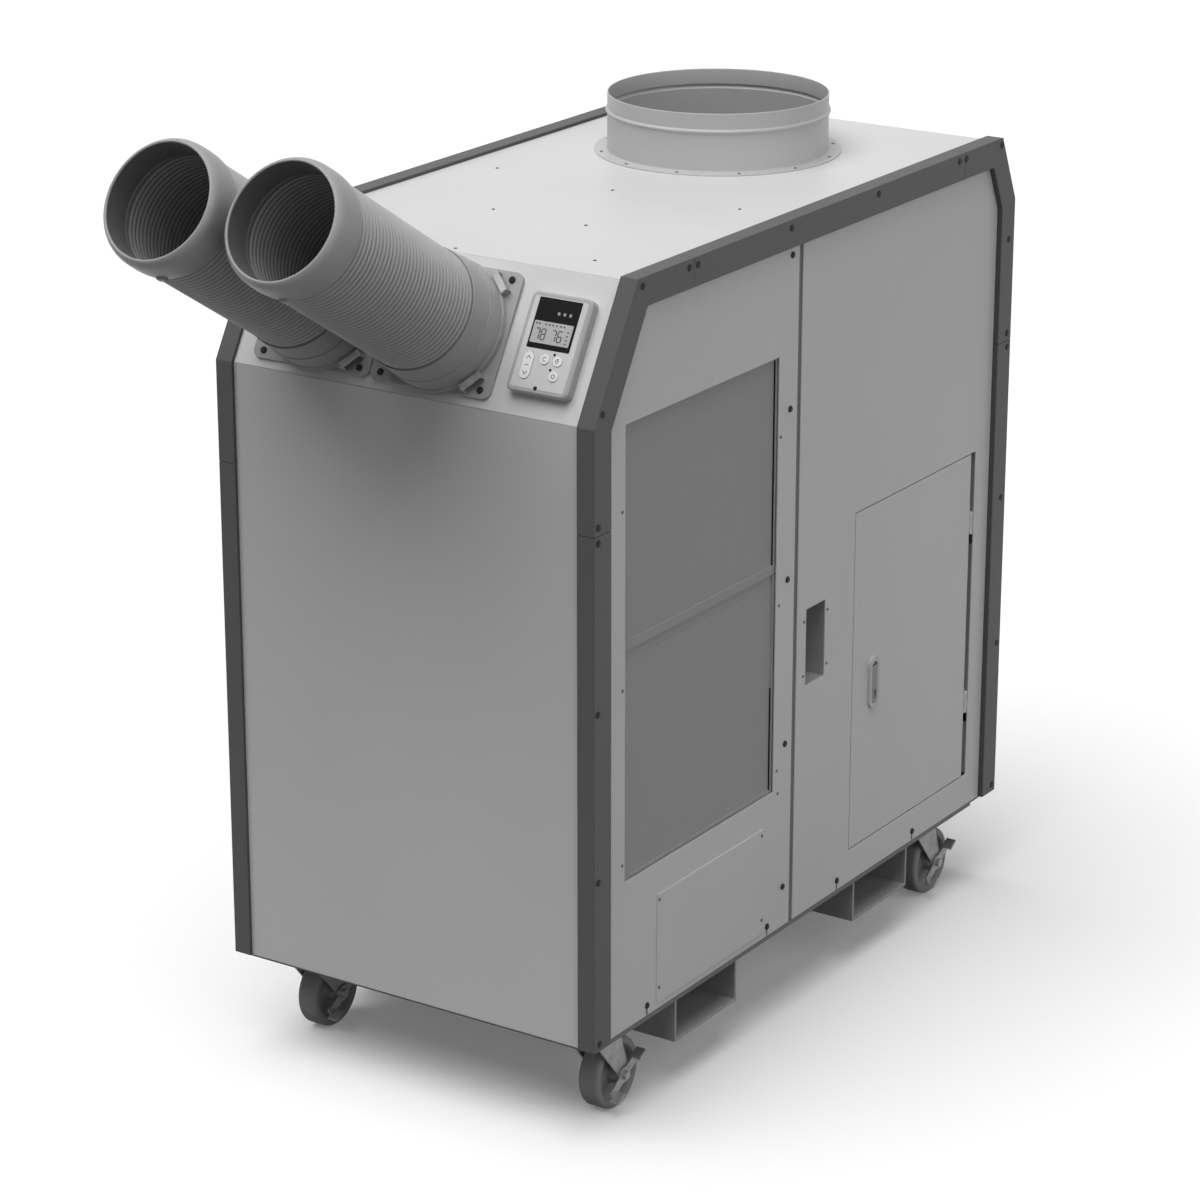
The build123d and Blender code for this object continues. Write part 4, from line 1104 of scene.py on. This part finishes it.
places = []
for end, y in casters["places"].items():
    for sideName, sign in sides:
        makeWheel(end + "_" + sideName, sign * casters["x"], y + casters["trail"])
    for sign in (-1, 1):
        for sy in (-1, 1):
            for sx in (-1, 1):
                spot = (sign * casters["x"] + sx * casters["boltX"], y + sy * casters["boltY"], casters["plate"])
                places.append((spot, (0, 0, -1)))
scatterScrews("casterBolts", places, casters["bolt"], casterZinc, "cabinet")
print("wheels made")


lighting = {
    "sky": 0.05,
    "above": {"power": 2.85, "spread": math.radians(62), "way": (-0.10, -0.33, 1)},
    "side": {"power": 0.80, "spread": math.radians(70), "way": (1, -0.15, 0.35)},
    "floorSeen": grey(0.95), "floorBounce": grey(0.10), "floorLift": 0.13, "floorHalf": 30,
}


def seenDirectly(tree):
    # 1 for camera, glossy and transmission rays
    rays = tree.nodes.new("ShaderNodeLightPath").outputs
    seen = maths(tree, "MAXIMUM", rays["Is Camera Ray"], rays["Is Glossy Ray"])
    return maths(tree, "MAXIMUM", seen, rays["Is Transmission Ray"])


def stageFloor():
    # seen as white, with its shadows, but it throws little light back up
    half = lighting["floorHalf"]
    mesh = bpy.data.meshes.new("floor")
    corners = [(-half, -half, 0), (half, -half, 0), (half, half, 0), (-half, half, 0)]
    mesh.from_pydata(corners, [], [(0, 1, 2, 3)])
    floor = linked("floor", mesh)
    material, tree, shader = newMaterial("floorWhite", lighting["floorSeen"], 0.9)
    seen = seenDirectly(tree)
    tint(tree, shader, seen, lighting["floorBounce"], lighting["floorSeen"])
    shader.inputs["Specular IOR Level"].default_value = 0.0
    shader.inputs["Emission Color"].default_value = (1, 1, 1, 1)
    nodeLink(tree, maths(tree, "MULTIPLY", seen, lighting["floorLift"]), shader.inputs["Emission Strength"])
    paint(floor, material)


lampDistance = 6


def stageLight(name):
    # a broad soft light from far off
    settings = lighting[name]
    lamp = bpy.data.lights.new(name, "SUN")
    lamp.energy = settings["power"]
    lamp.angle = settings["spread"]
    thing = linked(name, lamp)
    way = Vector(settings["way"])
    thing.location = way * lampDistance
    thing.rotation_euler = way.to_track_quat("Z", "Y").to_euler()


def stageWorld():
    world = bpy.data.worlds.new("studio")
    bpy.context.scene.world = world
    world.use_nodes = True
    tree = world.node_tree
    sky = tree.nodes["Background"]
    backdrop = tree.nodes.new("ShaderNodeBackground")
    for node, strength in ((sky, lighting["sky"]), (backdrop, 1.0)):
        node.inputs["Color"].default_value = (1, 1, 1, 1)
        node.inputs["Strength"].default_value = strength
    mix = tree.nodes.new("ShaderNodeMixShader")
    nodeLink(tree, seenDirectly(tree), mix.inputs["Fac"])
    nodeLink(tree, sky.outputs[0], mix.inputs[1])
    nodeLink(tree, backdrop.outputs[0], mix.inputs[2])
    nodeLink(tree, mix.outputs[0], tree.nodes["World Output"].inputs["Surface"])


stageFloor()
stageLight("above")
stageLight("side")
stageWorld()

view = {
    "azimuth": math.radians(33.369), "elevation": math.radians(19.202), "distance": 5.12985,
    "target": (0.129337, -0.127617, 0.647388), "focal": 3916.586, "photoWide": 1200, "sensor": 36, "reach": 200,
}


def stageCamera():
    lens = bpy.data.cameras.new("photoCamera")
    lens.sensor_width = view["sensor"]
    lens.sensor_fit = "HORIZONTAL"
    lens.lens = view["focal"] / view["photoWide"] * view["sensor"]
    lens.clip_end = view["reach"]
    camera = linked("photoCamera", lens)
    back = pointing(view["azimuth"], view["elevation"])
    camera.location = Vector(view["target"]) + back * view["distance"]
    camera.rotation_euler = (-back).to_track_quat("-Z", "Y").to_euler()
    bpy.context.scene.camera = camera


stageCamera()
bpy.context.scene.view_settings.view_transform = "Standard"
print("stage set")
